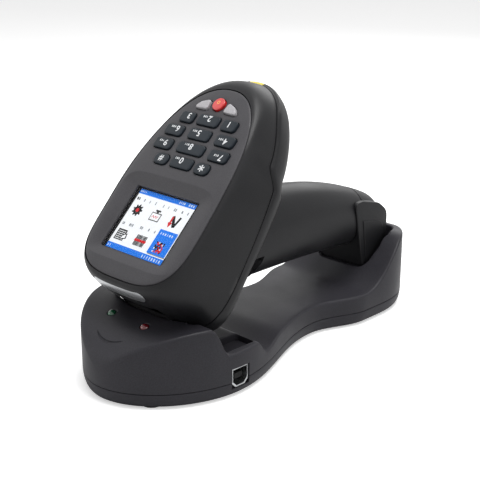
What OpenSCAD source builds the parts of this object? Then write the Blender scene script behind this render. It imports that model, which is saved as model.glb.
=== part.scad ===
// Pistol-grip data terminal resting in its charging cradle. Millimetres, +Z up, front at -Y.
// The origin is the middle of the cradle's footprint, on the surface that it stands on.

/* [Cradle] */
// Length of the cradle, front to back
cradle_l = 240; // [230:1:250]
// Width of the cradle's front bulb
front_w = 98.4; // [94:0.2:106]
// Width of the cradle's waist
waist_w = 52.8; // [48:0.2:64]
// Width of the cradle's rear end
rear_w = 73.8; // [66:0.2:84]
// Height of the flat deck between the two ends
deck_z = 19.3; // [17:0.1:21]
// Height of the front hump
front_top_z = 42.2; // [38:0.1:44]
// Height of the low shelf behind the front hump
shelf_z = 25.2; // [24:0.1:27]
// Height of the rear hump
rear_top_z = 47.3; // [43:0.1:50]
// Depth of the shallow trough behind the shelf
trough_d = 3; // [1:0.1:4]
// Wall of the cradle's housing
cradle_wall = 2.5; // [2:0.1:3]
// Height of the base tray, up to its seam
base_h = 8; // [7.5:0.1:9]
// Floor of the base tray
base_floor = 2.2; // [1.6:0.1:2.8]
// How far the rubber feet lift the base
foot_stand = 0.8; // [0.5:0.1:1]
// Diameter of a rubber foot
foot_d = 12; // [8:0.5:16]
// Floor of the finger notches
notch_z = 20.6; // [20.4:0.1:22]
// Diameter of the status lamps
led_d = 5; // [4:0.1:6]
// Distance between the two status lamps
led_gap = 27.1; // [20:0.1:32]
// Diameter of the charging pins
pin_d = 1.8; // [1.4:0.1:2.2]
// Distance between charging pins
pin_pitch = 5; // [4:0.1:6]
// Travel of a charging pin
pin_travel = 0.8; // [0.4:0.1:1.2]

/* [USB port] */
// Width of the port's steel shell
usb_w = 12; // [11.8:0.1:12.4]
// Height of the port's steel shell
usb_h = 11; // [10.8:0.1:11.2]
// Depth of the port's steel shell
usb_l = 16; // [14:0.5:18]

/* [Head] */
// How far the head stands out around the face plate at its sides
side_flare = 4.6; // [3.5:0.1:5.5]
// How far it stands out at its rear end
rear_flare = 14; // [12:0.5:15]
// How far it stands out at its nose
nose_flare = 2.9; // [2.4:0.1:4]
// How far the nose bulges out between the plate and the seam
nose_belly = 3; // [1:0.1:3.5]
// How far the lower shell bulges out below its seam
under_bulge = 2.8; // [1.5:0.1:3.2]
// Width of the face plate
plate_w = 75.8; // [74:0.1:78]
// Rear end of the face plate
plate_rear = 62; // [60:0.5:64]
// Nose end of the face plate
plate_nose = -59.6; // [-60.5:0.1:-58.6]
// Rise of the face plate's dome over its rear edge
plate_crown = 1.5; // [1:0.1:2]
// How much lower its edge lies at the nose
nose_dip = 1.7; // [1:0.1:2]
// Thickness of the face plate
plate_t = 2; // [1.6:0.1:2.2]
// Wall of the two head shells
head_wall = 2.2; // [1.8:0.1:2.6]
// Depth of the head's underside below the key tops, at the reference point
under_n = 49; // [48:0.5:51]
// Lean of the face away from the horizontal
face_tilt = 44.5; // [44:0.1:45]

/* [Display] */
// Width of the visible screen
screen_w = 45; // [40:0.1:46]
// Height of the visible screen
screen_h = 37.8; // [34:0.1:39]
// Width of the black border around the screen
screen_border = 1.9; // [1.2:0.1:2.2]
// Thickness of the clear window
window_t = 1; // [0.6:0.1:1.2]
// Ledge of the face plate that the window lies on
window_seat_t = 0.5; // [0.4:0.1:0.8]
// Thickness of the display with its backlight
lcd_t = 3.8; // [3.4:0.1:4]

/* [Keys] */
// Depth of a key along the face
key_h = 6.6; // [5.5:0.1:7.2]
// Width of a middle key
key_mid_w = 16; // [12:0.1:17]
// Width of an outer key
key_side_w = 13.4; // [10:0.1:14.5]
// Distance between key rows
row_pitch = 9.4; // [9.2:0.1:10]
// Travel of a key
key_travel = 0.8; // [0.4:0.1:0.9]
// Diameter of the power key
power_d = 8; // [6:0.1:9]

/* [Handle] */
// Width of the handle at its neck
handle_w = 38; // [36:0.5:40]
// Height of the handle's top line at its neck
handle_top_z = 91.5; // [90:0.5:93]
// Height of the handle's bottom line at its neck
handle_bottom_z = 42.5; // [42:0.1:44]
// Wall of the handle shells
handle_wall = 2.4; // [2:0.1:2.8]
// Width over the end cap's cheeks
cap_w = 36; // [34:0.2:38]
// Diameter of the battery cell
cell_d = 18.4; // [16:0.1:20]
// Length of the battery cell
cell_l = 65; // [60:0.5:70]

/* [Trigger] */
// Width of the trigger
trigger_w = 28; // [24:0.5:29]
// Diameter of the trigger's pin
trigger_pin_d = 3; // [2.5:0.1:3.5]
// Pull of the trigger, in degrees
trigger_pull = 6; // [3:0.5:7]

/* [Fits] */
// Running clearance between a pin and its bore, on the radius
run_c = 0.05; // [0.02:0.01:0.1]
// Clearance between a part and the one that it sits in
fit_c = 0.3; // [0.2:0.05:0.4]
// Clearance between the head's two shells
seam_c = 0.1; // [0.05:0.01:0.2]
// Clearance of the USB port in its opening
port_c = 0.4; // [0.3:0.1:0.5]

/* [Hidden] */
charcoal = "#2f2f31";
cradle_grey = "#38373b";
plate_grey = "#49474a";
board_green = "#1f5a3a";
steel = "#c4c6c8";
big = 300;
eps = 0.01;
NUMBER_KEYS = ["key_1", "key_2", "key_3", "key_4", "key_5", "key_6",
    "key_7", "key_8", "key_9", "key_star", "key_0", "key_hash"];
PINS = ["charge_pin_1", "charge_pin_2", "charge_pin_3", "charge_pin_4"];

// ---- Curves shared by several parts ----

function mix(a, b, t) = a + (b - a) * t;
function ease(t) = t <= 0 ? 0 : t >= 1 ? 1 : (1 - cos(180 * t)) / 2;
function step(y, y0, y1) = ease((y - y0) / (y1 - y0));
function signed_pow(a, p) = sign(a) * pow(abs(a), p);

// A rectangle with rounded corners, centred, as points
function rounded_rect(w, h, r, n = 6) = [
    for (q = [0:3], i = [0:n])
        let (a = 90 * q + 90 * i / n, sx = (q == 0 || q == 3) ? 1 : -1, sy = q < 2 ? 1 : -1)
        [sx * (w / 2 - r) + r * cos(a), sy * (h / 2 - r) + r * sin(a)]];

// The corner of a polygon, rounded with radius r, as n + 1 points on its arc
function corner(before, at, after, r, n = 5) =
    let (u = (before - at) / norm(before - at), v = (after - at) / norm(after - at),
        half = acos(u * v) / 2, centre = at + (u + v) / norm(u + v) * r / sin(half),
        from = at + u * r / tan(half), to = at + v * r / tan(half))
    [for (i = [0:n]) let (m = mix(from, to, i / n) - centre) centre + m / norm(m) * r];

// A polygon whose every corner has its own radius: points are [x, y, radius]
function rounded(p) = [
    for (i = [0:len(p) - 1])
        let (k = len(p), a = p[(i + k - 1) % k], b = p[i], c = p[(i + 1) % k])
        each (b[2] > 0 ? corner([a[0], a[1]], [b[0], b[1]], [c[0], c[1]], b[2])
            : [[b[0], b[1]]])];

// A closed skin over a row of rings with equal numbers of points. Each ring runs anticlockwise
// seen from the last ring. An end cap joins each point i to point n - i, or to n - 1 - i where
// band is set, as on a C-shaped ring. With loop, the last ring joins the first, without caps.
module loft(rings, loop = false, band = false) {
    n = len(rings[0]);
    k = len(rings);
    last = (k - 1) * n;
    sides = [for (j = [0:k - (loop ? 1 : 2)], i = [0:n - 1])
        let (a = j * n + i, b = j * n + (i + 1) % n, j2 = ((j + 1) % k) * n,
            c = j2 + (i + 1) % n, d = j2 + i)
        each [[a, c, b], [a, d, c]]];
    caps = loop ? [] : [for (i = [0:n / 2 - 1])
        let (s = band ? 1 : 0, a = i, b = i + 1, c = (n - s - b) % n, d = (n - s - a) % n)
        each [if (c != b) [a, b, c], if (d != a) [a, c, d]]];
    ends = [for (t = caps) each [t, [last + t[0], last + t[2], last + t[1]]]];
    polyhedron([for (r = rings) each r], concat(sides, ends), convexity = 6);
}

// A shape drawn in the Y-Z plane and drawn out along X, from x0 to x1
module across(x0, x1) {
    translate([x0, 0, 0]) rotate([90, 0, 90]) linear_extrude(x1 - x0) children();
}

// ---- The cradle's plan and side profile ----

front_centre_y = -61;
waist_y = 24.5;
rear_start_y = 62;
rear_round_y = 76;
front_power = 1.86;
rear_power = 2.3;
lip_z = 19.5;
hump_y = -81.6;
hump_end_y = -79.5;
shelf_start_y = -68.5;
shelf_end_y = -47;
trough_start_y = -37;
trough_end_y = -14;
ramp_start_y = 62;
ramp_end_y = 106;
rear_round_d = 8;
rear_drop = 5;
half_l = cradle_l / 2;

function half_width(y) =
    y < front_centre_y ? front_w / 2
    : y < waist_y ? mix(front_w, waist_w, step(y, front_centre_y, waist_y)) / 2
    : mix(waist_w, rear_w, step(y, waist_y, rear_start_y)) / 2;

// The front bulb's point at angle a, moved inwards by d
function front_point(a, d) = [
    (front_w / 2 - d) * signed_pow(cos(a), 2 / front_power),
    front_centre_y + (half_l + front_centre_y - d) * signed_pow(sin(a), 2 / front_power)];

// The cradle's outline from its front tip, moved inwards by d
function plan(d = 0) = concat(
    [for (a = [270:6:354]) front_point(a, d)],
    [for (i = [0:19]) let (y = mix(front_centre_y, rear_round_y, i / 20)) [half_width(y) - d, y]],
    [for (a = [0:7.5:180])
        [(rear_w / 2 - d) * signed_pow(cos(a), 2 / rear_power),
        rear_round_y + (half_l - rear_round_y - d) * pow(abs(sin(a)), 2 / rear_power)]],
    [for (i = [19:-1:1]) let (y = mix(front_centre_y, rear_round_y, i / 20)) [d - half_width(y), y]],
    [for (a = [180:6:264]) front_point(a, d)]);

// Height of the cradle's upper surface
function deck(y) =
    y < hump_y
    ? lip_z + (front_top_z - lip_z) * sqrt(max(0, 1 - pow((y - hump_y) / (half_l + hump_y), 2)))
    : front_top_z - (front_top_z - shelf_z) * step(y, hump_end_y, shelf_start_y)
    - (shelf_z - deck_z + trough_d) * step(y, shelf_end_y, trough_start_y)
    + trough_d * step(y, trough_start_y, trough_end_y)
    + (rear_top_z - deck_z) * step(y, ramp_start_y, ramp_end_y)
    - rear_drop * (1 - sqrt(max(0, 1 - pow(max(0, y - half_l + rear_round_d) / rear_round_d, 2))));

// The side profile between the base and the deck lowered by d
function profile(z0, d = 0) = concat(
    [[-half_l - 1, z0]],
    [for (a = [0:9:89]) let (y = hump_y - (half_l + hump_y) * cos(a)) [y, deck(y) - d]],
    [for (y = [hump_y:2.4:trough_end_y]) [y, deck(y) - d]],
    [[ramp_start_y, deck_z - d]],
    [for (y = [ramp_start_y + 3:3:half_l - rear_round_d]) [y, deck(y) - d]],
    [for (a = [15:15:90]) let (y = half_l - rear_round_d + rear_round_d * sin(a)) [y, deck(y) - d]],
    [[half_l + 1, deck(half_l) - d], [half_l + 1, z0]]);

base_z = foot_stand;
seam_z = base_z + base_h;

module cradle_block(z0, inset, drop) {
    intersection() {
        translate([0, 0, z0]) linear_extrude(big / 3) polygon(plan(inset));
        across(-front_w, front_w) polygon(profile(z0 - 1, drop));
    }
}

// ---- The head's frame: X across, Y along the face from nose to rear, Z out of the face ----

face_y = -65.65;
face_z = 110.6;

module face_frame() {
    translate([0, face_y, face_z]) rotate([face_tilt, 0, 0]) children();
}

// A point given along the face and out of it, as a point in the cradle's Y-Z plane
function face_point(v, n) = [
    face_y + v * cos(face_tilt) - n * sin(face_tilt),
    face_z + v * sin(face_tilt) + n * cos(face_tilt)];

egg_v = -20;
egg_steps = 64;
rear_bow = [2.25, 2.6];
nose_bow = [3.2, 3.7];
side_turn = 66;
plate_top = -1.1;
head_w = plate_w + 2 * side_flare;
head_rear = plate_rear + rear_flare;
head_nose = plate_nose - nose_flare;
pole_v = 10;
under_power = 3.8;
under_slope = 0.14;
nose_drop = 6;
UNDER_STEPS = [0, 0.001, 0.01, 0.1, 0.25, 0.4, 0.55, 0.7, 0.83, 0.93];

// Level of the face plate's edge, which drops towards the nose
function edge_n(v) = plate_top - plate_crown - nose_dip * step(-v, -10, 40);

// An egg outline in the face's plane from its half width and its two ends
function egg(w, rear, nose) = [
    for (i = [0:egg_steps - 1])
        let (a = 360 * i / egg_steps, back = sin(a) >= 0, bow = back ? rear_bow : nose_bow)
        [w * signed_pow(cos(a), 2 / bow[0]),
        egg_v + ((back ? rear : nose) - egg_v) * pow(abs(sin(a)), 2 / bow[1])]];
function plate_outline(d = 0) = egg(plate_w / 2 - d, plate_rear - d, plate_nose + d);
function seam_outline(d = 0) = egg(head_w / 2 - d, head_rear - d, head_nose + d);

// Level of the seam between the head's two shells: a shallow run, a jog and a slope to the nose
function seam_n(v) = -15 - 5 * step(v, 62, 32) - 11 * step(v, 32.4, 21.4)
    - 16 * max(0, min(1, (21.4 - v) / 82));
function under(v) = -under_n + under_slope * v - nose_drop * step(-v, 25, 60);

// A ring on the upper shell's side, from the plate's edge (t = 0) to the seam (t = 1)
function side_outline(t, d) =
    let (out = sin(side_turn * t) / sin(side_turn), belly = nose_belly * sin(180 * min(1, t / 0.8)))
    egg(mix(plate_w, head_w, out) / 2 - d, mix(plate_rear, head_rear, out) - d,
        mix(plate_nose, head_nose, out) - belly + d);
function side_ring(t, d) =
    let (p = side_outline(t, d), q = side_outline(t, 0),
        down = (1 - cos(side_turn * t)) / (1 - cos(side_turn)))
    [for (i = [0:egg_steps - 1])
        [p[i][0], p[i][1], mix(edge_n(q[i][1]), seam_n(q[i][1]), down)]];

// How far the lower shell stands out behind the seam's rear end: a lip and a bulge, none at the nose
function under_out(v, t) =
    under_bulge * (0.35 + 0.65 * pow(min(1, t / 0.01), 0.25)) * step(v, -20, 40);
function under_outline(b, d) = egg(head_w / 2 + 0.4 * b - d, head_rear + b - d, head_nose + d);

// A ring on the lower shell, from the seam (t = 0) towards the bottom (t = 1)
function under_ring(t, d) =
    let (c = pow(cos(90 * t), 2 / under_power), s = pow(sin(90 * t), 2 / under_power),
        q = seam_outline(0))
    [for (i = [0:egg_steps - 1])
        let (p = under_outline(under_out(q[i][1], t), d)[i], v = pole_v + (p[1] - pole_v) * c)
        [p[0] * c, v, mix(seam_n(q[i][1]) - seam_c, under(v) + d, s)]];

// The lower shell's middle line at the nose, as [along the face, out of the face]
function nose_line(t) = let (p = under_ring(t, 0)[3 * egg_steps / 4]) [p[1], p[2]];

function level(ring, n) = [for (p = ring) [p[0], p[1], n]];
function on_edge(ring, d) = [for (p = ring) [p[0], p[1], edge_n(p[1]) - d]];
function below(ring, d) = [for (p = ring) [p[0], p[1], min(p[2], edge_n(p[1]) - d)]];
function reversed(a) = [for (i = [len(a) - 1:-1:0]) a[i]];

// ---- Cradle parts ----

notch_x0 = 29;
notch_x1 = 44;
notch_y0 = -69;
notch_y1 = -45;
board_z = 16.3;
board_t = 1.6;
usb_y = front_centre_y - 0.3;
usb_x = front_w / 2 - 1.2;
usb_z = board_z - usb_h;
led_y = -97.4;
led_z = 31;
led_x = led_gap / 2;
pocket_c = 3;
pocket_r = 7.5;
pocket_y0 = 78.2;
pocket_y1 = 111;
cap_bottom_z = 27;
pocket_z = cap_bottom_z - fit_c;
contact_y = 92;
boss_d = 7;
screw_d = 3;
screw_head_d = 5.6;
saddle_w = 48;
HOUSING_SCREWS = [[-34, -88], [34, -88], [-19, 38], [19, 38]];
PILLARS = [[-18, -96], [18, -96], [-24, -50], [22, -50]];
FEET = [[-22, -101], [22, -101], [-22, 88], [22, 88]];
socket_n = -59;
saddle_foot_z = 12;
block_w = 24;
block_d = 8;
block_h = 8;

module nose_space() {
    face_frame() translate([0, 0, socket_n])
        linear_extrude(big / 2) polygon(seam_outline(-fit_c));
}

// The wedge that the head's underside leans on
module nose_saddle() {
    line = [for (t = [0.3:0.05:0.5]) let (p = nose_line(t)) face_point(p[0], p[1] - fit_c)];
    across(-saddle_w / 2, saddle_w / 2)
        polygon(concat([[line[0][0], saddle_foot_z]], line, [[line[4][0] + 2, saddle_foot_z]]));
}

module rear_pocket(grow, z) {
    w = cap_w + 2 * pocket_c + 2 * grow;
    l = pocket_y1 - pocket_y0 + 2 * grow;
    translate([0, (pocket_y0 + pocket_y1) / 2, z])
        linear_extrude(big / 3) polygon(rounded_rect(w, l, pocket_r + grow));
}

module notches(grow, z) {
    for (s = [-1, 1])
        translate([s * (notch_x0 + notch_x1) / 2, (notch_y0 + notch_y1) / 2, z])
            linear_extrude(big / 3)
                polygon(rounded_rect(notch_x1 - notch_x0 + 2 * grow,
                    notch_y1 - notch_y0 + 2 * grow, 3 + grow));
}

module usb_opening() {
    translate([usb_x - usb_l, usb_y - usb_w / 2 - port_c, usb_z - port_c])
        cube([usb_l + 5, usb_w + 2 * port_c, usb_h + 2 * port_c]);
}

module cradle_housing() {
    color(cradle_grey) difference() {
        union() {
            difference() {
                cradle_block(seam_z, 0, 0);
                difference() {
                    translate([0, 0, -eps]) cradle_block(seam_z, cradle_wall, cradle_wall);
                    rear_pocket(cradle_wall, pocket_z - cradle_wall);
                    notches(1.8, notch_z - 1.8);
                    for (p = HOUSING_SCREWS)
                        translate([p[0], p[1], seam_z - 5]) cylinder(d = boss_d, h = 60);
                    contact_seat();
                }
            }
            intersection() {
                nose_saddle();
                translate([-big / 2, -big / 2, deck_z]) cube([big, big, big]);
            }
        }
        nose_space();
        rear_pocket(0, pocket_z);
        notches(0, notch_z);
        usb_opening();
        for (s = [-1, 1])
            translate([s * led_x, led_y, led_z]) cylinder(d = led_d + 2 * run_c, h = 30);
        for (i = [0:3])
            translate([(i - 1.5) * pin_pitch, contact_y, 10]) cylinder(d = pin_d + 2 * run_c, h = 30);
        for (p = HOUSING_SCREWS)
            translate([p[0], p[1], seam_z - 6]) cylinder(d = screw_d + 2 * run_c, h = 8);
    }
}

// The solid pad under the rear pocket that the contact block is fixed to
module contact_seat() {
    translate([-block_w / 2 - 2, contact_y - block_d / 2 - 2, pocket_z - cradle_wall - 1])
        cube([block_w + 4, block_d + 4, cradle_wall + 1]);
}

// The base's outside narrows towards the surface that it stands on
module cradle_base() {
    lower = [[3.2, 0], [1.4, 1.4], [0.5, 4], [0.1, base_h]];
    color(cradle_grey) difference() {
        union() {
            difference() {
                loft([for (r = lower) level(plan(r[0]), base_z + r[1])]);
                translate([0, 0, base_z + base_floor])
                    linear_extrude(base_h) polygon(plan(cradle_wall + 1.5));
            }
            for (p = PILLARS)
                translate([p[0], p[1], base_z + 1]) cylinder(d = boss_d, h = board_z - base_z - 1);
            for (p = HOUSING_SCREWS)
                translate([p[0], p[1], base_z + 1]) cylinder(d = boss_d + 3, h = base_h - 1);
        }
        usb_opening();
        for (p = PILLARS)
            translate([p[0], p[1], base_z + 4]) cylinder(d = screw_d - 0.5 + 2 * run_c, h = 30);
        for (p = HOUSING_SCREWS) {
            translate([p[0], p[1], base_z - 1]) cylinder(d = screw_d + 0.4, h = 30);
            translate([p[0], p[1], base_z - 1]) cylinder(d = screw_head_d + 0.4, h = 4.5);
        }
        for (p = FEET)
            translate([p[0], p[1], base_z - 1]) cylinder(d = foot_d + 0.4, h = 1.8);
    }
}

module rubber_feet() {
    color("#161616") for (p = FEET)
        translate([p[0], p[1], 0]) cylinder(d = foot_d, h = foot_stand + 0.8);
}

module base_screws() {
    color(steel) for (p = HOUSING_SCREWS) {
        translate([p[0], p[1], base_z + 3.5 - 2.2]) difference() {
            cylinder(d = screw_head_d, h = 2.2);
            translate([0, 0, -eps]) cylinder(d = 2.2, h = 1, $fn = 6);
        }
        translate([p[0], p[1], base_z + 3.5 - eps]) cylinder(d = screw_d, h = seam_z - base_z - 2);
    }
}

module ballast_plate() {
    color("#6a6c70") translate([0, 46, base_z + base_floor])
        linear_extrude(4) polygon(rounded_rect(28, 66, 4));
}

module cradle_board() {
    color(board_green) difference() {
        intersection() {
            translate([5, -75, board_z]) linear_extrude(board_t) polygon(rounded_rect(64, 62, 3));
            linear_extrude(big / 3) polygon(plan(cradle_wall + 1));
        }
        for (p = PILLARS)
            translate([p[0], p[1], board_z - 1]) cylinder(d = screw_d + 0.2, h = 4);
        for (p = HOUSING_SCREWS)
            translate([p[0], p[1], board_z - 1]) cylinder(d = boss_d + 1, h = 4);
        for (s = [-1, 1], k = [-1, 1])
            translate([s * led_x + k * 1.27, led_y, board_z - 1]) cylinder(d = 0.9, h = 4);
    }
}

module board_pillar_screws() {
    color(steel) for (p = PILLARS) {
        translate([p[0], p[1], board_z + board_t]) cylinder(d = 5, h = 1.6);
        translate([p[0], p[1], board_z - 7]) cylinder(d = screw_d - 0.5, h = 7 + board_t + eps);
    }
}

// The port's outline, with the two slanted corners downwards
function usb_section(d) =
    let (w = usb_w / 2 - d, h = usb_h, c = 2.6)
    [[-w, h - d], [-w, d + c], [c - w, d], [w - c, d], [w, d + c], [w, h - d]];

module usb_shell() {
    color(steel) difference() {
        translate([0, usb_y, usb_z]) across(usb_x - usb_l, usb_x) polygon(usb_section(0));
        translate([0, usb_y, usb_z]) across(usb_x - usb_l + 1.5, usb_x + 1) polygon(usb_section(0.7));
    }
}

module usb_tongue() {
    color("#141414") translate([usb_x - usb_l + 1.5, usb_y - 2.8, usb_z + usb_h / 2 - 1.6])
        cube([usb_l - 3, 5.6, 3.2]);
}

// A round lamp with its collar under the housing and two leads down to the board
module status_lamp(s, c) {
    translate([s * led_x, led_y, 0]) {
        color(c) {
            translate([0, 0, led_z + 0.2])
                cylinder(d = led_d, h = deck(led_y) - led_z - 1.4);
            translate([0, 0, deck(led_y) - 1.2]) intersection() {
                sphere(d = led_d);
                cylinder(d = led_d, h = led_d);
            }
            translate([0, 0, led_z - 1.6]) cylinder(d = led_d + 0.9, h = 1.8 + eps);
        }
        color(steel) for (k = [-1, 1])
            translate([k * 1.27, 0, board_z]) cylinder(d = 0.6, h = led_z - 1.5 - board_z);
    }
}

module led_green() { status_lamp(-1, "#1f7a4d"); }
module led_red() { status_lamp(1, "#b32030"); }

module contact_block() {
    color("#1c1c1c") difference() {
        translate([-block_w / 2, contact_y - block_d / 2, pocket_z - cradle_wall - 1 - block_h])
            cube([block_w, block_d, block_h]);
        for (i = [0:3])
            translate([(i - 1.5) * pin_pitch, contact_y, 5]) cylinder(d = pin_d + 2 * run_c, h = 30);
    }
}

module charge_pin(i) {
    foot = pocket_z - cradle_wall - 1 - block_h + pin_travel + 0.4;
    color("#d9b45a") translate([(i - 1.5) * pin_pitch, contact_y, foot])
        cylinder(d = pin_d, h = cap_bottom_z - 0.1 - foot);
}

// ---- Head parts ----

ledge_w = 2.6;
ledge_t = 1.4;
seat_d = plate_t + 0.1;
ledge_d = seat_d + ledge_t;
tray_rear = 6;
head_post_d = 6;
window_w = screen_w + 2 * screen_border;
window_h = screen_h + 1;
screen_v = -25.8;
window_n = -4.7;
lcd_n = window_n - window_t - window_seat_t;
pcb_n = lcd_n - lcd_t;
pcb_t = 1.6;
head_screw_x = plate_w / 2 - 3.6;
head_screw_rear_x = plate_w / 2 - 11;
HEAD_SCREWS = [[-head_screw_x, 2], [head_screw_x, 2],
    [-head_screw_rear_x, 44.5], [head_screw_rear_x, 44.5]];
board_screw_x = plate_w / 2 - 8.5;
board_screw_rear_x = plate_w / 2 - 10;
BOARD_SCREWS = [[-board_screw_x, -8], [board_screw_x, -8],
    [-board_screw_rear_x, 36], [board_screw_rear_x, 36]];
board_post_d = 4.4;
scan_w = 38;
scan_h = 15;
scan_n = -31;
lens_w = 11;
lens_h = 5;
lens_in = 6;
badge_w = 40;
badge_h = 7.4;
badge_n = -11;

module head_upper_shell() {
    color(charcoal) difference() {
        union() {
            loft([
                for (t = [1, 0.8, 0.62, 0.45, 0.28, 0.12]) side_ring(t, 0),
                on_edge(plate_outline(-0.35), 0),
                on_edge(plate_outline(-0.35), seat_d),
                on_edge(plate_outline(ledge_w), seat_d),
                on_edge(plate_outline(ledge_w), ledge_d),
                on_edge(plate_outline(0.6), ledge_d),
                below(side_ring(0.45, head_wall), ledge_d + 0.3),
                below(side_ring(0.7, head_wall), ledge_d + 0.7),
                side_ring(1, head_wall),
            ], loop = true);
            for (p = HEAD_SCREWS)
                translate([p[0], p[1], seam_n(p[1]) + 0.5])
                    cylinder(d = head_post_d, h = lcd_n - fit_c - seam_n(p[1]) - 0.5);
        }
        for (p = HEAD_SCREWS)
            translate([p[0], p[1], seam_n(p[1]) - 1]) cylinder(d = 2.4 + 2 * run_c, h = 7);
        translate([-scan_w / 2, head_nose - 5, scan_n - scan_h / 2]) cube([scan_w, 12, scan_h]);
        difference() {
            badge_block(0.1);
            side_solid(0.8);
        }
        for (p = BOARD_SCREWS)
            translate([p[0], p[1], edge_n(p[1]) - ledge_d - 1])
                cylinder(d = board_post_d + 2 * fit_c, h = ledge_t + 2);
    }
}

// The upper shell's outside as a solid, moved inwards by d
module side_solid(d) {
    loft([for (t = [1, 0.8, 0.62, 0.45, 0.28, 0.12, 0]) side_ring(t, d)]);
}

module head_lower_shell() {
    color(charcoal) difference() {
        face_frame() lower_bowl();
        neck_hole();
    }
}

// The lower shell in the face's frame: a bowl from the seam, with four screw posts
module lower_bowl() {
    outer = [for (t = reversed(UNDER_STEPS)) under_ring(t, 0)];
    inner = [for (t = UNDER_STEPS) under_ring(t, head_wall)];
    difference() {
        union() {
            loft(concat(outer, inner));
            intersection() {
                for (p = HEAD_SCREWS)
                    translate([p[0], p[1], under(p[1])])
                        cylinder(d = head_post_d, h = seam_n(p[1]) + 0.3 - under(p[1]));
                loft([for (t = reversed(UNDER_STEPS)) under_ring(t, 0.6)]);
            }
        }
        for (p = HEAD_SCREWS) {
            translate([p[0], p[1], -big / 3]) cylinder(d = 2.8, h = big);
            translate([p[0], p[1], seam_n(p[1]) - 5 - 20]) cylinder(d = 5.4, h = 20);
        }
        translate([-lens_w / 2 - 0.2, head_rear - lens_in - 0.2, seam_n(head_rear) - lens_h - 0.2])
            cube([lens_w + 0.4, lens_in + 10, lens_h + 1]);
    }
}

module head_screws() {
    color(steel) for (p = HEAD_SCREWS)
        translate([p[0], p[1], seam_n(p[1])]) {
            translate([0, 0, -6]) cylinder(d = 2.4, h = 11);
            translate([0, 0, -5 - run_c - 1.8]) cylinder(d = 4.6, h = 1.8);
        }
}

// The yellow lamp lens in the seam at the head's rear end
module indicator_lens() {
    color("#f2cf1d") translate([-lens_w / 2, head_rear - lens_in, seam_n(head_rear) - lens_h])
        cube([lens_w, lens_in + under_bulge, lens_h - seam_c]);
}

// The face plate's dome: a height for each share of the way from its middle to its edge
function dome(r, v) = plate_top - (plate_top - edge_n(v)) * pow(r, 8);
function plate_ring(r, d) = [for (p = plate_outline(0))
    let (v = egg_v + (p[1] - egg_v) * r) [p[0] * r, v, dome(r, v) - d]];

DOME_STEPS = [0.15, 0.6, 0.78, 0.88, 0.95, 1];

// The skin of the dome, t thick, with its upper side lowered by d
module dome_skin(t, d) {
    loft([
        for (r = DOME_STEPS) plate_ring(r, d + t),
        for (r = reversed(DOME_STEPS)) plate_ring(r, d),
    ]);
}

module face_plate() {
    color(plate_grey) difference() {
        union() {
            dome_skin(plate_t, 0);
            intersection() {
                dome_skin(20, 0.5);
                union() {
                    screen_tray();
                    for (p = BOARD_SCREWS)
                        translate([p[0], p[1], pcb_n]) cylinder(d = board_post_d, h = -pcb_n);
                }
            }
        }
        screen_cut();
        key_holes();
        for (p = BOARD_SCREWS)
            translate([p[0], p[1], pcb_n - 1]) cylinder(d = 1.8 + 2 * run_c, h = 4.5);
    }
}

// The thick part of the plate that holds the window
module screen_tray() {
    translate([0, 0, lcd_n]) linear_extrude(-lcd_n) intersection() {
        polygon(plate_outline(ledge_w + fit_c));
        translate([-plate_w / 2, plate_nose]) square([plate_w, tray_rear - plate_nose]);
    }
}

// The share of the way from the plate's middle to its edge at a point of the plate
function share(x, v) =
    let (back = v > egg_v, bow = back ? rear_bow : nose_bow,
        a = abs(x) / plate_w * 2, b = (v - egg_v) / ((back ? plate_rear : plate_nose) - egg_v))
    pow(pow(a, bow[0]) + pow(b, bow[1]), 2 / (bow[0] + bow[1]));

// The dish around the window: its crease lies this far from the window's edge
dish_side = 11.2;
dish_near = 6.3;
dish_far = 7.6;
dish_lift = 1;

// A ring of the dish, grown by d beyond the share k of the way from the window to the crease
function dish_ring(k, d, bow) =
    let (v0 = screen_v - window_h / 2 - k * dish_near - d,
        v1 = screen_v + window_h / 2 + k * dish_far + d)
    [for (i = [0:59]) let (a = 6 * i)
        [(window_w / 2 + k * dish_side + d) * signed_pow(cos(a), 2 / bow),
        (v0 + v1) / 2 + (v1 - v0) / 2 * signed_pow(sin(a), 2 / bow)]];

// The dish, the window's seat and the view through it
module screen_cut() {
    loft([
        level(dish_ring(0, 0, 14), window_n + dish_lift),
        [for (p = dish_ring(1, 0, 6)) [p[0], p[1], dome(share(p[0], p[1]), p[1]) - 0.15]],
        level(dish_ring(1, 1.5, 6), plate_top + 1)]);
    translate([0, screen_v, window_n - window_t - 0.05]) linear_extrude(window_t + dish_lift + 0.5)
        polygon(rounded_rect(window_w, window_h, 1, 3));
    translate([0, screen_v, lcd_n - 1]) linear_extrude(6) square([screen_w, screen_h], center = true);
}

module display_window() {
    color("#101418") translate([0, screen_v, window_n - window_t])
        linear_extrude(window_t) polygon(rounded_rect(window_w - 0.2, window_h - 0.2, 0.9, 3));
}

module lcd_panel() {
    color("#e8edf2") translate([0, screen_v, lcd_n - lcd_t])
        linear_extrude(lcd_t - 0.02) square([screen_w + 5, screen_h + 5], center = true);
}

// Keys: [x, distance along the face, width, depth, corner radius]
row_v = 11.4;
function key_place(i) =
    let (row = 3 - floor(i / 3), col = 1 - i % 3, side = abs(col),
        spread = [15.8, 21.4, 19.6, 16.1][row])
    [col * spread, row_v + row * row_pitch - (side > 0 ? 0.4 : 0),
        side > 0 ? key_side_w - (row == 0 || row == 3 ? 3 : 0) : key_mid_w + (row == 1 ? 4 : 0),
        key_h, side > 0 && row == 0 ? 2.8 : 1.8];
fn_key_v = 48.6;
fn_key_x = 9.5;
power_v = 50.8;
key_flange = 0.8;
key_gap = 0.25;
flange_n = dome(0.93, row_v) - plate_t - 0.3;
sheet_t = 2.2;

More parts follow.
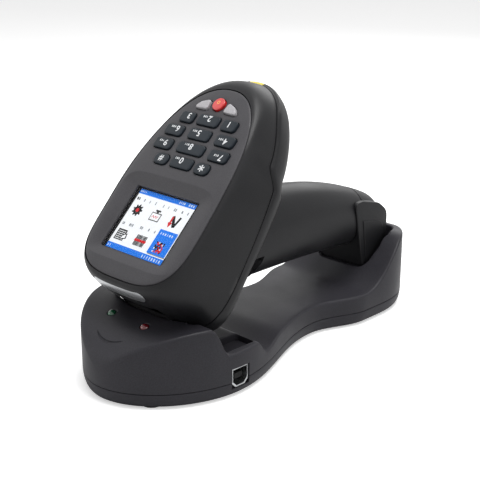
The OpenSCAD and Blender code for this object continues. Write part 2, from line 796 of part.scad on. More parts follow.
// The outline of a function key: a rounded triangle that points away from the power key
function fn_outline(s, d = 0) =
    let (p = rounded([[-2.4 - d, 4.2 + 1.6 * d, 1.2], [-3.5 - d, -2.2 - d, 1.2],
        [6.8 + 1.8 * d, -2.4 - d, 1], [3.2 + 0.7 * d, 2 + 0.7 * d, 3]]))
    [for (q = s > 0 ? p : reversed(p)) [s * q[0], q[1]]];

module key_holes() {
    for (i = [0:11]) let (k = key_place(i))
        translate([k[0], k[1], flange_n + 0.1]) linear_extrude(20)
            polygon(rounded_rect(k[2] + 2 * key_gap, k[3] + 2 * key_gap, k[4]));
    for (s = [-1, 1])
        translate([s * fn_key_x, fn_key_v, flange_n + 0.1]) linear_extrude(20)
            polygon(fn_outline(s, key_gap));
    translate([0, power_v, flange_n + 0.1]) cylinder(d = power_d + 2 * key_gap, h = 20);
}

key_foot_n = pcb_n + key_travel + 0.1;
sheet_v = row_v - 5.4;

module key(outline, flange_outline, c) {
    color(c) {
        translate([0, 0, key_foot_n]) linear_extrude(-key_foot_n) polygon(outline);
        translate([0, 0, key_foot_n]) linear_extrude(flange_n - 0.15 - key_foot_n)
            polygon(flange_outline);
    }
}

module number_key(i) {
    k = key_place(i);
    translate([k[0], k[1], 0])
        key(rounded_rect(k[2], k[3], k[4]),
            rounded_rect(k[2] + 2 * key_flange, k[3] + 2 * key_flange, k[4]), "#3a434a");
}

module function_key(s) {
    translate([s * fn_key_x, fn_key_v, 0])
        key(fn_outline(s), fn_outline(s, key_flange / 2), "#9a979a");
}

module key_power() {
    color("#e02828") translate([0, power_v, 0]) {
        translate([0, 0, key_foot_n]) cylinder(d = power_d, h = -key_foot_n);
        translate([0, 0, key_foot_n])
            cylinder(d = power_d + key_flange, h = flange_n - 0.15 - key_foot_n);
    }
}

// The elastic sheet around the feet of the keys, lying on the board
module keypad_sheet() {
    color("#2a2e33") difference() {
        translate([0, 0, pcb_n]) linear_extrude(sheet_t) intersection() {
            polygon(plate_outline(ledge_w + fit_c));
            translate([-plate_w / 2, sheet_v]) square([plate_w, plate_rear - sheet_v]);
        }
        for (i = [0:11]) let (k = key_place(i))
            translate([k[0], k[1], pcb_n - 1]) linear_extrude(20)
                polygon(rounded_rect(k[2] + 2 * key_flange + 2 * fit_c,
                    k[3] + 2 * key_flange + 2 * fit_c, k[4]));
        for (s = [-1, 1])
            translate([s * fn_key_x, fn_key_v, pcb_n - 1]) linear_extrude(20)
                polygon(fn_outline(s, key_flange / 2 + fit_c));
        translate([0, power_v, pcb_n - 1]) cylinder(d = power_d + key_flange + 2 * fit_c, h = 20);
        for (p = BOARD_SCREWS)
            translate([p[0], p[1], pcb_n - 1]) cylinder(d = board_post_d + 2 * fit_c, h = 20);
        for (p = HEAD_SCREWS)
            translate([p[0], p[1], pcb_n - 1]) cylinder(d = head_post_d + 1, h = 20);
    }
}

module main_board() {
    color(board_green) difference() {
        translate([0, 0, pcb_n - pcb_t]) linear_extrude(pcb_t)
            polygon(egg(plate_w / 2 - 4.5, plate_rear - 3, plate_nose + 6));
        for (p = BOARD_SCREWS)
            translate([p[0], p[1], pcb_n - 3]) cylinder(d = 2.2, h = 6);
        for (p = HEAD_SCREWS)
            translate([p[0], p[1], pcb_n - 3]) cylinder(d = head_post_d + 1, h = 6);
    }
}

module board_screws() {
    color(steel) for (p = BOARD_SCREWS)
        translate([p[0], p[1], pcb_n - pcb_t]) {
            translate([0, 0, -1.2]) cylinder(d = 3.4, h = 1.2);
            translate([0, 0, -eps]) cylinder(d = 1.8, h = pcb_t + 3);
        }
}

module buzzer() {
    color("#1a1a1a") translate([12, 20, pcb_n - pcb_t - 5]) cylinder(d = 12, h = 5);
}

scan_v = head_nose + head_wall + 2.4;

module scan_window() {
    color("#3a0f14") translate([-scan_w / 2 - 1.5, scan_v, scan_n - scan_h / 2 - 1.5])
        cube([scan_w + 3, 1.2, scan_h + 3]);
}

module scan_engine() {
    color("#3c3f44") translate([-11, scan_v + 1.2 + fit_c, scan_n - 6]) cube([22, 13, 12]);
}

// The bracket that hangs the scan engine from the board
module engine_bracket() {
    y = scan_v + 1.2 + fit_c;
    color(steel) {
        translate([-11, y + 13, scan_n - 6]) cube([22, 1, pcb_n - pcb_t - scan_n + 6]);
        translate([-11, y + 13, pcb_n - pcb_t - 1]) cube([22, 8, 1]);
    }
}

// An oval block through the nose where the badge sits, grown by d
module badge_block(d) {
    translate([0, head_nose + 6, badge_n]) rotate([90, 0, 0])
        linear_extrude(7 + nose_belly)
            polygon(rounded_rect(badge_w + 2 * d, badge_h + 2 * d, badge_h / 2 - 0.1));
}

module name_badge() {
    color("#c9cbcd") difference() {
        intersection() {
            badge_block(0);
            side_solid(-0.3);
        }
        side_solid(0.7);
    }
}

// ---- Handle and trigger ----

neck_y0 = -58;
cap_y0 = 84;
handle_steps = 16;
trigger_y = -35;
trigger_z = 62;
trigger_r = 24;
trigger_top_z = 58;
trigger_front_y = -11.7;
trigger_hub_d = 8;
spring_w = 8;
cell_z = 62;
cell_y = 15;
plunger_y = -17.2;
plunger_gap = 0.2;
plunger_h = 0.9;

function handle_top(y) = handle_top_z - 0.0022 * pow(max(0, y), 2);
function handle_bottom(y) = handle_bottom_z - 0.0005 * pow(max(0, y), 2);
function handle_half(y) = handle_w / 2 - 0.0005 * pow(max(0, y), 2);

// Half of the handle's section at y, from its bottom line to its top line, moved inwards by d
function half_section(y, d, n = handle_steps) =
    let (m = (handle_top(y) + handle_bottom(y)) / 2, r = (handle_top(y) - handle_bottom(y)) / 2)
    [for (i = [0:n]) let (a = -90 + 180 * i / n)
        [(handle_half(y) - d) * pow(max(0, cos(a)), 0.93), m + (r - d) * signed_pow(sin(a), 0.93)]];
function full_section(y, d) =
    let (h = half_section(y, d))
    concat(h, [for (i = [handle_steps - 1:-1:1]) [-h[i][0], h[i][1]]]);
function at_y(pts, y) = [for (p = pts) [p[0], y, p[1]]];

module handle_half_shell() {
    stations = [cap_y0 - 0.1, 70, 56, 42, 28, 14, 0, neck_y0];
    difference() {
        union() {
            difference() {
                loft([for (y = stations)
                    at_y(concat(half_section(y, 0), reversed(half_section(y, handle_wall))), y)],
                    band = true);
                head_side(-head_wall);
                trigger_space();
            }
            for (y = [12, 44, 68]) handle_rib(y);
            translate([0, trigger_y, trigger_z]) rotate([0, 90, 0])
                translate([0, 0, trigger_w / 2 + fit_c])
                    cylinder(d = trigger_pin_d + 4, h = handle_w / 2 - trigger_w / 2 - fit_c - 1);
        }
        translate([0, trigger_y, trigger_z]) rotate([0, 90, 0])
            cylinder(d = trigger_pin_d + 2 * run_c, h = handle_w / 2 - 1.4);
        for (y = [12, 68])
            translate([0, y + 1.5, handle_top(y) - 8]) rotate([0, 90, 0])
                cylinder(d = 2 + 2 * run_c, h = 9);
    }
}

// Everything on the head's side of a plane that follows its underside, moved by d
module head_side(d) {
    face_frame() translate([0, 0, -under_n - d]) rotate([atan(under_slope), 0, 0])
        translate([-big / 2, -big / 2, 0]) cube(big);
}

// The room that the trigger sweeps, open at the handle's lower side
module trigger_space() {
    intersection() {
        union() {
            translate([-big / 2, trigger_y, trigger_z]) rotate([0, 90, 0])
                cylinder(r = trigger_r + fit_c + 0.2, h = big);
            translate([-big / 2, trigger_y - big, -big / 2]) cube(big);
        }
        translate([-big / 2, -big / 2, -big + trigger_top_z]) cube(big);
    }
}

// The opening in the lower shell that the handle's neck passes through
module neck_hole() {
    intersection() {
        translate([0, -5, 0]) rotate([90, 0, 0]) linear_extrude(-5 - neck_y0 + 8)
            polygon(full_section(neck_y0, -0.15));
        translate([-big / 2, -big / 2, trigger_top_z - 0.15]) cube(big);
    }
}

// A web across one half of the handle with a round seat for the battery cell
module handle_rib(y) {
    difference() {
        translate([0, y + 3, 0]) rotate([90, 0, 0]) linear_extrude(3)
            polygon(half_section(y + 3, 1));
        translate([0, y - 1, cell_z]) rotate([-90, 0, 0]) cylinder(d = cell_d + 0.2, h = 6);
        head_side(-head_wall);
    }
}

module handle_left_shell() {
    color(charcoal) mirror([1, 0, 0]) handle_half_shell();
}

module handle_right_shell() {
    color(charcoal) handle_half_shell();
}

module handle_screws() {
    color(steel) for (y = [12, 68])
        translate([-8, y + 1.5, handle_top(y) - 8]) rotate([0, 90, 0]) cylinder(d = 2, h = 16);
}

// The cap's cheeks seen from the side
function cheek() =
    let (z = cap_bottom_z)
    rounded([[cap_y0 - 12, z + 43.3, 3.5], [cap_y0 - 3.4, z, 0.8], [cap_y0 + 21, z, 2],
        [cap_y0 + 20.4, z + 33, 8], [cap_y0 + 12, z + 39.5, 12], [cap_y0 - 4, z + 43.8, 6]]);

// The raised pad on each cheek, whose lower end slides into the cradle's pocket
function cheek_pad() =
    let (z = cap_bottom_z)
    rounded([[cap_y0 - 4.6, z + 31.4, 1], [cap_y0, z, 0.5], [cap_y0 + 15, z, 0.5],
        [cap_y0 + 15.8, z + 26.8, 5]]);
cheek_step = 0.6;

// The cap's rounded end behind the shells: [distance behind them, inset]
CAP_END = [[26.4, 12], [25.6, 8], [23.6, 4.6], [20, 1.8], [15, 0.3], [8, 0], [0, 0]];

module handle_end_cap() {
    color(charcoal) difference() {
        union() {
            across(cheek_step - cap_w / 2, cap_w / 2 - cheek_step) polygon(cheek());
            across(-cap_w / 2, cap_w / 2) polygon(cheek_pad());
            loft([for (e = CAP_END) at_y(full_section(cap_y0 + e[0], e[1]), cap_y0 + e[0])]);
        }
        loft([for (y = [cap_y0:-5.25:cap_y0 - 15.75]) at_y(full_section(y, -0.25), y)]);
        translate([-cap_w / 2 + 5, cap_y0 - 1, 34]) cube([cap_w - 10, 16, 24]);
        for (i = [0:3])
            translate([(i - 1.5) * pin_pitch - 1.6, contact_y - 3.1, cap_bottom_z - 1])
                cube([3.2, 6.2, 2]);
    }
}

module charge_contacts() {
    color("#d9b45a") for (i = [0:3])
        translate([(i - 1.5) * pin_pitch - 1.5, contact_y - 3, cap_bottom_z]) cube([3, 6, 0.95]);
}

module battery() {
    color("#2f6fb0") translate([0, cell_y, cell_z]) rotate([-90, 0, 0])
        cylinder(d = cell_d, h = cell_l);
}

// The trigger's top line, level with the hub at its front and sloping down to its rear tip
function trigger_top(y) = mix(trigger_z + 3, trigger_z - 5.8,
    (y - trigger_y) / (trigger_front_y - trigger_y));

// The trigger seen from the side: a rear face round about the pin and a hollowed front
function trigger_side() = concat(
    [[trigger_y, trigger_top(trigger_y)]],
    [for (a = [-14:-6:-62]) [trigger_y + trigger_r * cos(a), trigger_z + trigger_r * sin(a)]],
    rounded([[-26, 40, 1.5], [-31, 43.5, 6], [-42, 50, 2], [-39.5, 59, 1]]));

// The finger pad, as wide as the handle wherever it stays below the shells' edge when pulled
module trigger_pad() {
    edge_z = trigger_top_z - fit_c - trigger_z;
    intersection() {
        across(-handle_w / 2, handle_w / 2) polygon(trigger_side());
        translate([-big / 2, trigger_y - big / 2, trigger_z + edge_z - big]) cube(big);
        translate([0, trigger_y, trigger_z]) rotate([-trigger_pull, 0, 0])
            translate([-big / 2, -big / 2, edge_z - big]) cube(big);
    }
}

module trigger() {
    color("#1e1e20") difference() {
        union() {
            intersection() {
                union() {
                    across(-trigger_w / 2, trigger_w / 2) polygon(trigger_side());
                    trigger_pad();
                }
                translate([0, 0, -3]) rotate([90, 0, 0]) linear_extrude(big, center = true)
                    polygon(full_section(neck_y0, 1.2));
            }
            translate([-trigger_w / 2, trigger_y, trigger_z]) rotate([0, 90, 0])
                cylinder(d = trigger_hub_d, h = trigger_w);
        }
        translate([-big / 2, trigger_y, trigger_z]) rotate([0, 90, 0])
            cylinder(d = trigger_pin_d + 2 * run_c, h = big);
        translate([-spring_w / 2 - fit_c, trigger_y - 8, trigger_z - 5])
            cube([spring_w + 2 * fit_c, 14, 16]);
    }
}

module trigger_pin() {
    color(steel) translate([-handle_w / 2 + 1.5, trigger_y, trigger_z]) rotate([0, 90, 0])
        cylinder(d = trigger_pin_d, h = handle_w - 3);
}

// A torsion spring's coils around the trigger's pin
module trigger_spring() {
    wire = 0.8;
    r = trigger_pin_d / 2 + fit_c + wire / 2;
    color(steel) translate([-spring_w / 2, trigger_y, trigger_z]) rotate([0, 90, 0])
        for (i = [0:6])
            translate([0, 0, wire / 2 + i * (spring_w - wire) / 6]) rotate_extrude()
                translate([r, 0]) circle(d = wire);
}

// The pulled trigger's top comes up to the switch's plunger
plunger_z = trigger_top(plunger_y) + (plunger_y + 2.4 - trigger_y) * sin(trigger_pull) + plunger_gap;
switch_z = plunger_z + plunger_h;
switch_h = 6;

module trigger_switch() {
    color("#1a1a1a") {
        translate([-3.2, plunger_y - 1.8, switch_z]) cube([6.4, 12.8, switch_h]);
        translate([-1.2, plunger_y, plunger_z]) cube([2.4, 2.4, plunger_h + eps]);
    }
}

// The board lies across the handle, held between its two shells
module switch_board() {
    w = handle_w - 2 * handle_wall - 0.4;
    color(board_green) translate([-w / 2, plunger_y - 4, switch_z + switch_h]) cube([w, 28, 1.6]);
}

cradle_housing();
cradle_base();
rubber_feet();
base_screws();
ballast_plate();
cradle_board();
board_pillar_screws();
usb_shell();
usb_tongue();
led_green();
led_red();
contact_block();
for (i = [0:len(PINS) - 1]) charge_pin(i);
face_frame() head_upper_shell();
head_lower_shell();
face_frame() head_screws();
face_frame() face_plate();
face_frame() name_badge();
face_frame() indicator_lens();
face_frame() display_window();
face_frame() lcd_panel();
face_frame() keypad_sheet();
for (i = [0:len(NUMBER_KEYS) - 1])
    face_frame() number_key(i);
face_frame() function_key(-1);  // key_left
face_frame() function_key(1);  // key_right
face_frame() key_power();
face_frame() main_board();
face_frame() board_screws();
face_frame() buzzer();
face_frame() scan_window();
face_frame() scan_engine();
face_frame() engine_bracket();
handle_left_shell();
handle_right_shell();
handle_screws();
handle_end_cap();
charge_contacts();
battery();
trigger();
trigger_pin();
trigger_spring();
trigger_switch();
switch_board();
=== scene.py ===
"""A pistol-grip data terminal lying in its charging cradle, dressed around its CAD frame."""
from math import atan, copysign, cos, hypot, pi, radians, sin, sqrt, tan

import bpy
from mathutils import Matrix, Vector
from mathutils.geometry import delaunay_2d_cdt


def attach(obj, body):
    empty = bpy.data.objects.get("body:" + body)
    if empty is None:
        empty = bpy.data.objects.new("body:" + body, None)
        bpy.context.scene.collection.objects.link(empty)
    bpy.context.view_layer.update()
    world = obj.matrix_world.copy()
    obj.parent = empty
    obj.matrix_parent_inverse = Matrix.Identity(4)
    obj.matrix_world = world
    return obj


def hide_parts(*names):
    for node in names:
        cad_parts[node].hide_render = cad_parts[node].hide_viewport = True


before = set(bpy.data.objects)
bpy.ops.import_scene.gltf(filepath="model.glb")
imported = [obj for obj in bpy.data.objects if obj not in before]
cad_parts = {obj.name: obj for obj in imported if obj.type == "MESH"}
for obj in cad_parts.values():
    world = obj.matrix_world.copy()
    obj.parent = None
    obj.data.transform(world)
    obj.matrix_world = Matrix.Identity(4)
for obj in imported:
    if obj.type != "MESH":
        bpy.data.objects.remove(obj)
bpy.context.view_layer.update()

# ---- Helpers for nodes, meshes and outlines ----
# Everything is drawn in millimetres and scaled once by MM.
MM = 0.001
scene = bpy.context.scene
scene.view_settings.view_transform = "Standard"


def linear(code):
    """An sRGB hex colour as linear RGBA."""
    parts = [int(code[i:i + 2], 16) / 255 for i in (1, 3, 5)]
    return [c / 12.92 if c <= 0.04045 else ((c + 0.055) / 1.055) ** 2.4 for c in parts] + [1]


def add_node(tree, kind, inputs=None, **props):
    """Adds a node. An input takes a value, or is linked to a socket or a node's first output."""
    made = tree.nodes.new(kind)
    for name, value in props.items():
        setattr(made, name, value)
    for name, value in (inputs or {}).items():
        if isinstance(value, bpy.types.Node):
            value = value.outputs[0]
        if isinstance(value, bpy.types.NodeSocket):
            tree.links.new(value, made.inputs[name])
        else:
            made.inputs[name].default_value = value
    return made


def new_material(name):
    """An empty node material and its tree."""
    material = bpy.data.materials.new(name)
    material.use_nodes = True
    material.node_tree.nodes.clear()
    return material, material.node_tree


def noise(tree, scale, detail, rough=0.5):
    """Noise in the piece's own coordinates."""
    coords = add_node(tree, "ShaderNodeTexCoord").outputs["Object"]
    return add_node(tree, "ShaderNodeTexNoise",
                    {"Vector": coords, "Scale": scale, "Detail": detail, "Roughness": rough})


def map_range(tree, value, low, high, start=0.3, end=0.7):
    """Maps a value from start and end to low and high."""
    return add_node(tree, "ShaderNodeMapRange", {
        "Value": value, "From Min": start, "From Max": end, "To Min": low, "To Max": high})


def relief(tree, height, strength, depth):
    """A bump with a depth in millimetres."""
    return add_node(tree, "ShaderNodeBump",
                    {"Height": height, "Strength": strength, "Distance": depth * MM})


def finish_material(tree, inputs):
    """Ends a material with one principled surface."""
    shader = add_node(tree, "ShaderNodeBsdfPrincipled", inputs)
    add_node(tree, "ShaderNodeOutputMaterial", {"Surface": shader})


def moulded_plastic(name, colour, tint, rough, grain, depth):
    """ABS from a spark-textured mould: an even satin skin with a fine grain in it."""
    material, tree = new_material(name)
    grains, flow = noise(tree, 1 / (grain * MM), 3, 0.6), noise(tree, 28, 3)
    shade = add_node(tree, "ShaderNodeMix", {
        0: map_range(tree, flow, 0, 1, 0.35, 0.65), 6: linear(colour), 7: linear(tint)},
        data_type="RGBA")
    coat = add_node(tree, "ShaderNodeVectorMath", {
        0: shade.outputs[2], "Scale": map_range(tree, grains, 0.82, 1.18)}, operation="SCALE")
    finish_material(tree, {
        "IOR": 1.45, "Specular IOR Level": 0.26, "Base Color": coat,
        "Roughness": map_range(tree, flow, rough - 0.06, rough + 0.08),
        "Normal": relief(tree, grains, 0.5, depth)})
    return material


def metal_part(name, colour, rough, grain):
    """Plated or turned metal with faint tool marks."""
    material, tree = new_material(name)
    marks = noise(tree, 1 / (grain * MM), 4)
    finish_material(tree, {
        "Base Color": linear(colour), "Metallic": 1,
        "Roughness": map_range(tree, marks, rough - 0.07, rough + 0.1),
        "Normal": relief(tree, marks, 0.2, 0.02)})
    return material


def clear_plastic(name, colour, rough, glow=0.0):
    """Dyed clear acrylic or polycarbonate, polished, with a little light of its own."""
    material, tree = new_material(name)
    body = add_node(tree, "ShaderNodeRGB")
    body.outputs[0].default_value = linear(colour)
    dyed = add_node(tree, "ShaderNodeVectorMath", {
        0: body, "Scale": map_range(tree, noise(tree, 500, 2), 0.85, 1.1)}, operation="SCALE")
    finish_material(tree, {
        "Roughness": rough, "IOR": 1.49, "Coat Weight": 0.6, "Coat Roughness": 0.08,
        "Emission Color": linear(colour), "Emission Strength": glow, "Base Color": dyed})
    return material


def plain_surface(name, scale, detail, low, high, inputs):
    """A material whose roughness wanders a little between low and high."""
    material, tree = new_material(name)
    tone = map_range(tree, noise(tree, scale, detail), low, high, 0, 1)
    finish_material(tree, {"Roughness": tone, **inputs})
    return material


def screen_dye(name, colour, glow):
    """One colour of the lit display. The dot pitch is drawn at 0.25 mm."""
    return plain_surface(name, 4000, 1, 0.35, 0.5, {
        "Base Color": linear(colour), "Specular IOR Level": 0.2,
        "Emission Color": linear(colour), "Emission Strength": glow})


def place(data, name):
    """Puts new data into the scene as an object."""
    obj = bpy.data.objects.new(name, data)
    scene.collection.objects.link(obj)
    return obj


def coat_with(obj, material):
    obj.data.materials.clear()
    obj.data.materials.append(material)


def dress(piece, body, node=None):
    """Hides the CAD node that a piece stands in for, if one is given, and hangs the piece on the
    body it moves with.
    """
    if node:
        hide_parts(node)
    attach(piece, body)


def make_mesh(name, points, faces, material=None, smooth=32):
    """A new object from points in millimetres, smooth but for edges sharper than an angle.
    Tools for cutting have no material."""
    mesh = bpy.data.meshes.new(name)
    mesh.from_pydata([Vector(p) * MM for p in points], [], faces)
    if material:
        mesh.materials.append(material)
    mesh.shade_smooth()
    mesh.set_sharp_from_angle(angle=radians(smooth))
    return place(mesh, name)


def move_mesh(mesh, matrix):
    """Moves a mesh by a matrix whose lengths are in millimetres."""
    mesh.transform(Matrix.Scale(MM, 4) @ matrix @ Matrix.Scale(1 / MM, 4))


def evaluated_mesh(obj):
    bpy.context.view_layer.update()
    graph = bpy.context.evaluated_depsgraph_get()
    return bpy.data.meshes.new_from_object(obj.evaluated_get(graph))


def bake(obj):
    """Applies an object's modifiers."""
    mesh = evaluated_mesh(obj)
    obj.modifiers.clear()
    old, obj.data = obj.data, mesh
    name = old.name
    bpy.data.meshes.remove(old)
    mesh.name = name


def boolean(obj, tool, operation="DIFFERENCE"):
    """Cuts obj with a tool solid, or keeps what they share, and removes the tool."""
    cut = obj.modifiers.new("cut", "BOOLEAN")
    cut.operation = operation
    cut.solver = "EXACT"
    cut.object = tool
    bake(obj)
    bpy.data.objects.remove(tool)
    obj.data.shade_smooth()
    obj.data.set_sharp_from_angle(angle=radians(32))


def skin(rings, loop=False):
    """Points and faces of a skin over rings that run anticlockwise seen from the last one."""
    n = len(rings[0])
    faces = []
    for j in range(len(rings) - (0 if loop else 1)):
        a, b = j * n, (j + 1) % len(rings) * n
        faces += [(a + i, a + (i + 1) % n, b + (i + 1) % n, b + i) for i in range(n)]
    return [p for ring in rings for p in ring], faces


def capped(rings):
    """Points and faces of a closed solid over rings, with flat ends."""
    points, faces = skin(rings)
    n, count = len(rings[0]), len(points)
    return points, faces + [tuple(range(n - 1, -1, -1)), tuple(range(count - n, count))]


def close_end(points, faces, start, n, up, rows=1, height=None):
    """Closes the ring of n points at index start with strips between its mirrored points."""
    def row(i):
        a, b = start + i, start + (n - i) % n
        if a == b:
            return [a]
        inner = []
        for k in range(1, rows):
            p = Vector(points[a]).lerp(Vector(points[b]), k / rows)
            if height:
                p.z = height(p.y)
            points.append(tuple(p))
            inner.append(len(points) - 1)
        return [a] + inner + [b]

    last = row(0)
    for i in range(1, n // 2 + 1):
        now = row(i)
        if len(last) == 1:
            made = [(last[0], now[k], now[k + 1]) for k in range(len(now) - 1)]
        elif len(now) == 1:
            made = [(last[k], now[0], last[k + 1]) for k in range(len(last) - 1)]
        else:
            made = [(last[k], now[k], now[k + 1], last[k + 1]) for k in range(len(now) - 1)]
        faces += made if up else [f[::-1] for f in made]
        last = now


def solid(name, rings, material=None, rows=1, height=None):
    """A closed solid over rings, lowest first, with both ends closed by mirrored strips."""
    points, faces = skin(rings)
    n = len(rings[0])
    close_end(points, faces, 0, n, False)
    close_end(points, faces, (len(rings) - 1) * n, n, True, rows, height)
    return make_mesh(name, points, faces, material)


def prism(name, outline, z0, z1):
    """A closed upright prism over any outline, with flat ends."""
    return make_mesh(name, *capped([[(x, y, z) for x, y in outline] for z in (z0, z1)]))


def side_prism(name, outline, x0, x1, material=None):
    """A closed prism over an outline of (y, z)."""
    return make_mesh(name, *capped([[(x, y, z) for y, z in outline] for x in (x0, x1)]), material)


def long_prism(name, outline, y0, y1):
    """A closed prism over an outline of (x, z), from its far end to its near one."""
    return make_mesh(name, *capped([[(x, y, z) for x, z in outline] for y in (y0, y1)]))


def cuboid(low, high):
    """A plain box, for cutting only."""
    outline = [(high[0], high[1]), (low[0], high[1]), (low[0], low[1]), (high[0], low[1])]
    return prism("box_tool", outline, low[2], high[2])


def mouth(name, outline, low, surface, radius):
    """A cutter for a recess whose rim is rounded where it meets a surface z = surface(y)."""
    rings = [[(x, y, low) for x, y in outline(0)]]
    for t in (0, 20, 40, 60, 78):
        grow, drop = radius * (1 - cos(radians(t))), radius * (1 - sin(radians(t)))
        rings.append([(x, y, surface(y) - drop) for x, y in outline(grow)])
    rings.append([(x, y, surface(y) + radius) for x, y in outline(radius * 2)])
    points, faces = skin(rings)
    n, last = len(rings[0]), len(points) - len(rings[0])
    faces += [tuple(range(n - 1, -1, -1))]
    points.append((sum(p[0] for p in rings[-1]) / n, sum(p[1] for p in rings[-1]) / n,
                   max(p[2] for p in rings[-1]) + 5))
    faces += [(last + i, last + (i + 1) % n, len(points) - 1) for i in range(n)]
    return make_mesh(name, points, faces)


def arc(x, y, r, degrees):
    """Points on a circle at angles in degrees."""
    return [(x + r * cos(radians(a)), y + r * sin(radians(a))) for a in degrees]


def disc(x, y, d, count=40):
    return arc(x, y, d / 2, [360 * i / count for i in range(count)])


def rounded_rect(w, h, r, n=6):
    """A rectangle with rounded corners, centred, anticlockwise from its +x side."""
    points = []
    for q in range(4):
        sx, sy = 1 if q in (0, 3) else -1, 1 if q < 2 else -1
        points += arc(sx * (w / 2 - r), sy * (h / 2 - r), r,
                      [90 * q + 90 * i / n for i in range(n + 1)])
    return points


def rounded(corners, n=5):
    """A polygon whose corners each have a radius: corners are (x, y, radius)."""
    points = []
    for i, (x, y, r) in enumerate(corners):
        at = Vector((x, y))
        u = (Vector(corners[i - 1][:2]) - at).normalized()
        w = (Vector(corners[(i + 1) % len(corners)][:2]) - at).normalized()
        half = u.angle(w) / 2
        centre = at + (u + w).normalized() * r / sin(half)
        start, end = at + u * r / tan(half), at + w * r / tan(half)
        points += [tuple(centre + (start.lerp(end, j / n) - centre).normalized() * r)
                   for j in range(n + 1)]
    return points


def moved(outline, x, y):
    return [(px + x, py + y) for px, py in outline]


def mix(a, b, t):
    return a + (b - a) * t


def step(y, y0, y1):
    """A smooth step from 0 at y0 to 1 at y1."""
    t = min(max((y - y0) / (y1 - y0), 0), 1)
    return (1 - cos(pi * t)) / 2


def power(a, p):
    return copysign(abs(a) ** p, a)


def halve(low, high, rounds, is_low):
    """Closes in from both ends on the place where is_low stops being true."""
    for _ in range(rounds):
        middle = (low + high) / 2
        if is_low(middle):
            low = middle
        else:
            high = middle
    return low, high


def shift(x, y, z):
    return Matrix.Translation(Vector((x, y, z)))


# ---- Camera, floor and light ----
# A small product studio: a camera at three quarters from the front, a plain pale floor and
# large soft lamps.
azimuth, elevation = radians(44.552), radians(19)
back = Vector((sin(azimuth) * cos(elevation), -cos(azimuth) * cos(elevation), sin(elevation)))
camera = place(bpy.data.cameras.new("camera"), "camera")
camera.data.sensor_width = 36
camera.data.lens = 80.93
camera.data.clip_start = 0.01
camera.location = Vector((413.55, -432.65, 266.81)) * MM
camera.rotation_mode = "QUATERNION"
camera.rotation_quaternion = (-back).to_track_quat("-Z", "Y")
scene.camera = camera

world = bpy.data.worlds.new("studio")
scene.world = world
world.use_nodes = True
tree = world.node_tree
tree.nodes.clear()
rays = add_node(tree, "ShaderNodeLightPath").outputs
seen = add_node(tree, "ShaderNodeMath", {
    0: rays["Is Camera Ray"], 1: rays["Is Transmission Ray"]}, operation="MAXIMUM")
seen = add_node(tree, "ShaderNodeMath", {0: seen, 1: rays["Is Glossy Ray"]}, operation="MAXIMUM")
AMBIENT = 0.3
ambient, white = [add_node(tree, "ShaderNodeBackground",
                           {"Color": linear("#ffffff"), "Strength": s}) for s in (AMBIENT, 1)]
mixed = add_node(tree, "ShaderNodeMixShader", {0: seen, 1: ambient, 2: white})
add_node(tree, "ShaderNodeOutputWorld", {"Surface": mixed})

for lamp, at, size, watts in (("top_lamp", (140, 40, 1100), 550, 9.5),
                              ("left_lamp", (-850, -330, 880), 450, 0.5),
                              ("front_lamp", (-550, -850, 320), 500, 1.1),
                              ("side_lamp", (950, 60, 480), 500, 1.4),
                              ("back_lamp", (-350, 850, 650), 600, 2.4)):
    light = place(bpy.data.lights.new(lamp, "AREA"), lamp)
    light.data.size = size * MM
    light.data.energy = watts
    light.location = Vector(at) * MM
    light.rotation_mode = "QUATERNION"
    light.rotation_quaternion = (Vector((0, 0, 60)) - Vector(at)).to_track_quat("-Z", "Y")

paper, tree = new_material("pale_studio_paper")
shader = add_node(tree, "ShaderNodeBsdfPrincipled", {
    "Base Color": linear("#f8f8f8"), "Roughness": 0.9, "Specular IOR Level": 0.1,
    "Normal": relief(tree, noise(tree, 900, 2), 0.05, 0.1)})
lift = add_node(tree, "ShaderNodeMath", {
    0: add_node(tree, "ShaderNodeLightPath").outputs["Is Camera Ray"], 1: 0.5},
    operation="MULTIPLY")
glow = add_node(tree, "ShaderNodeEmission", {"Color": linear("#ffffff"), "Strength": lift})
lit = add_node(tree, "ShaderNodeAddShader", {0: shader, 1: glow})
add_node(tree, "ShaderNodeOutputMaterial", {"Surface": lit})
floor_mesh = bpy.data.meshes.new("floor")
floor_mesh.from_pydata([(-6, -6, 0), (6, -6, 0), (6, 6, 0), (-6, 6, 0)], [], [(0, 1, 2, 3)])
floor_mesh.materials.append(paper)
floor = place(floor_mesh, "floor")

# ---- Cradle housing ----
# The cradle's upper moulding is textured ABS: a round front that holds the nose, a waist, and
# a raised rear with a pocket for the end cap. Its rim is rounded, and a dark seam parts it
# from the base tray below.
FRONT_W, WAIST_W, REAR_W = 98.4, 52.8, 73.8
HALF_L = 120
FRONT_Y, WAIST_Y, REAR_Y, TAIL_Y = -61, 24.5, 62, 76
SEAM_Z, RIM_R, CRADLE_WALL = 8.8, 1.6, 2.5
FRONT_POWER, REAR_POWER = 1.86, 2.3
HUMP_Y, LIP_Z, FRONT_Z, SHELF_Z, DECK_Z, REAR_Z, TROUGH = -81.6, 19.5, 42.2, 25.2, 19.3, 47.3, 3
TO_SHELF, TO_TROUGH, TO_DECK, TO_REAR = (-79.5, -68.5), (-47, -37), (-37, -14), (62, 106)
TAIL_R, TAIL_DROP = 8, 5
cradle_abs = moulded_plastic("spark_textured_cradle_abs", "#29282d", "#2e2d32", 0.44, 0.7, 0.04)


def half_width(y):
    if y < FRONT_Y:
        return FRONT_W / 2
    if y < WAIST_Y:
        return mix(FRONT_W, WAIST_W, step(y, FRONT_Y, WAIST_Y)) / 2
    return mix(WAIST_W, REAR_W, step(y, WAIST_Y, REAR_Y)) / 2


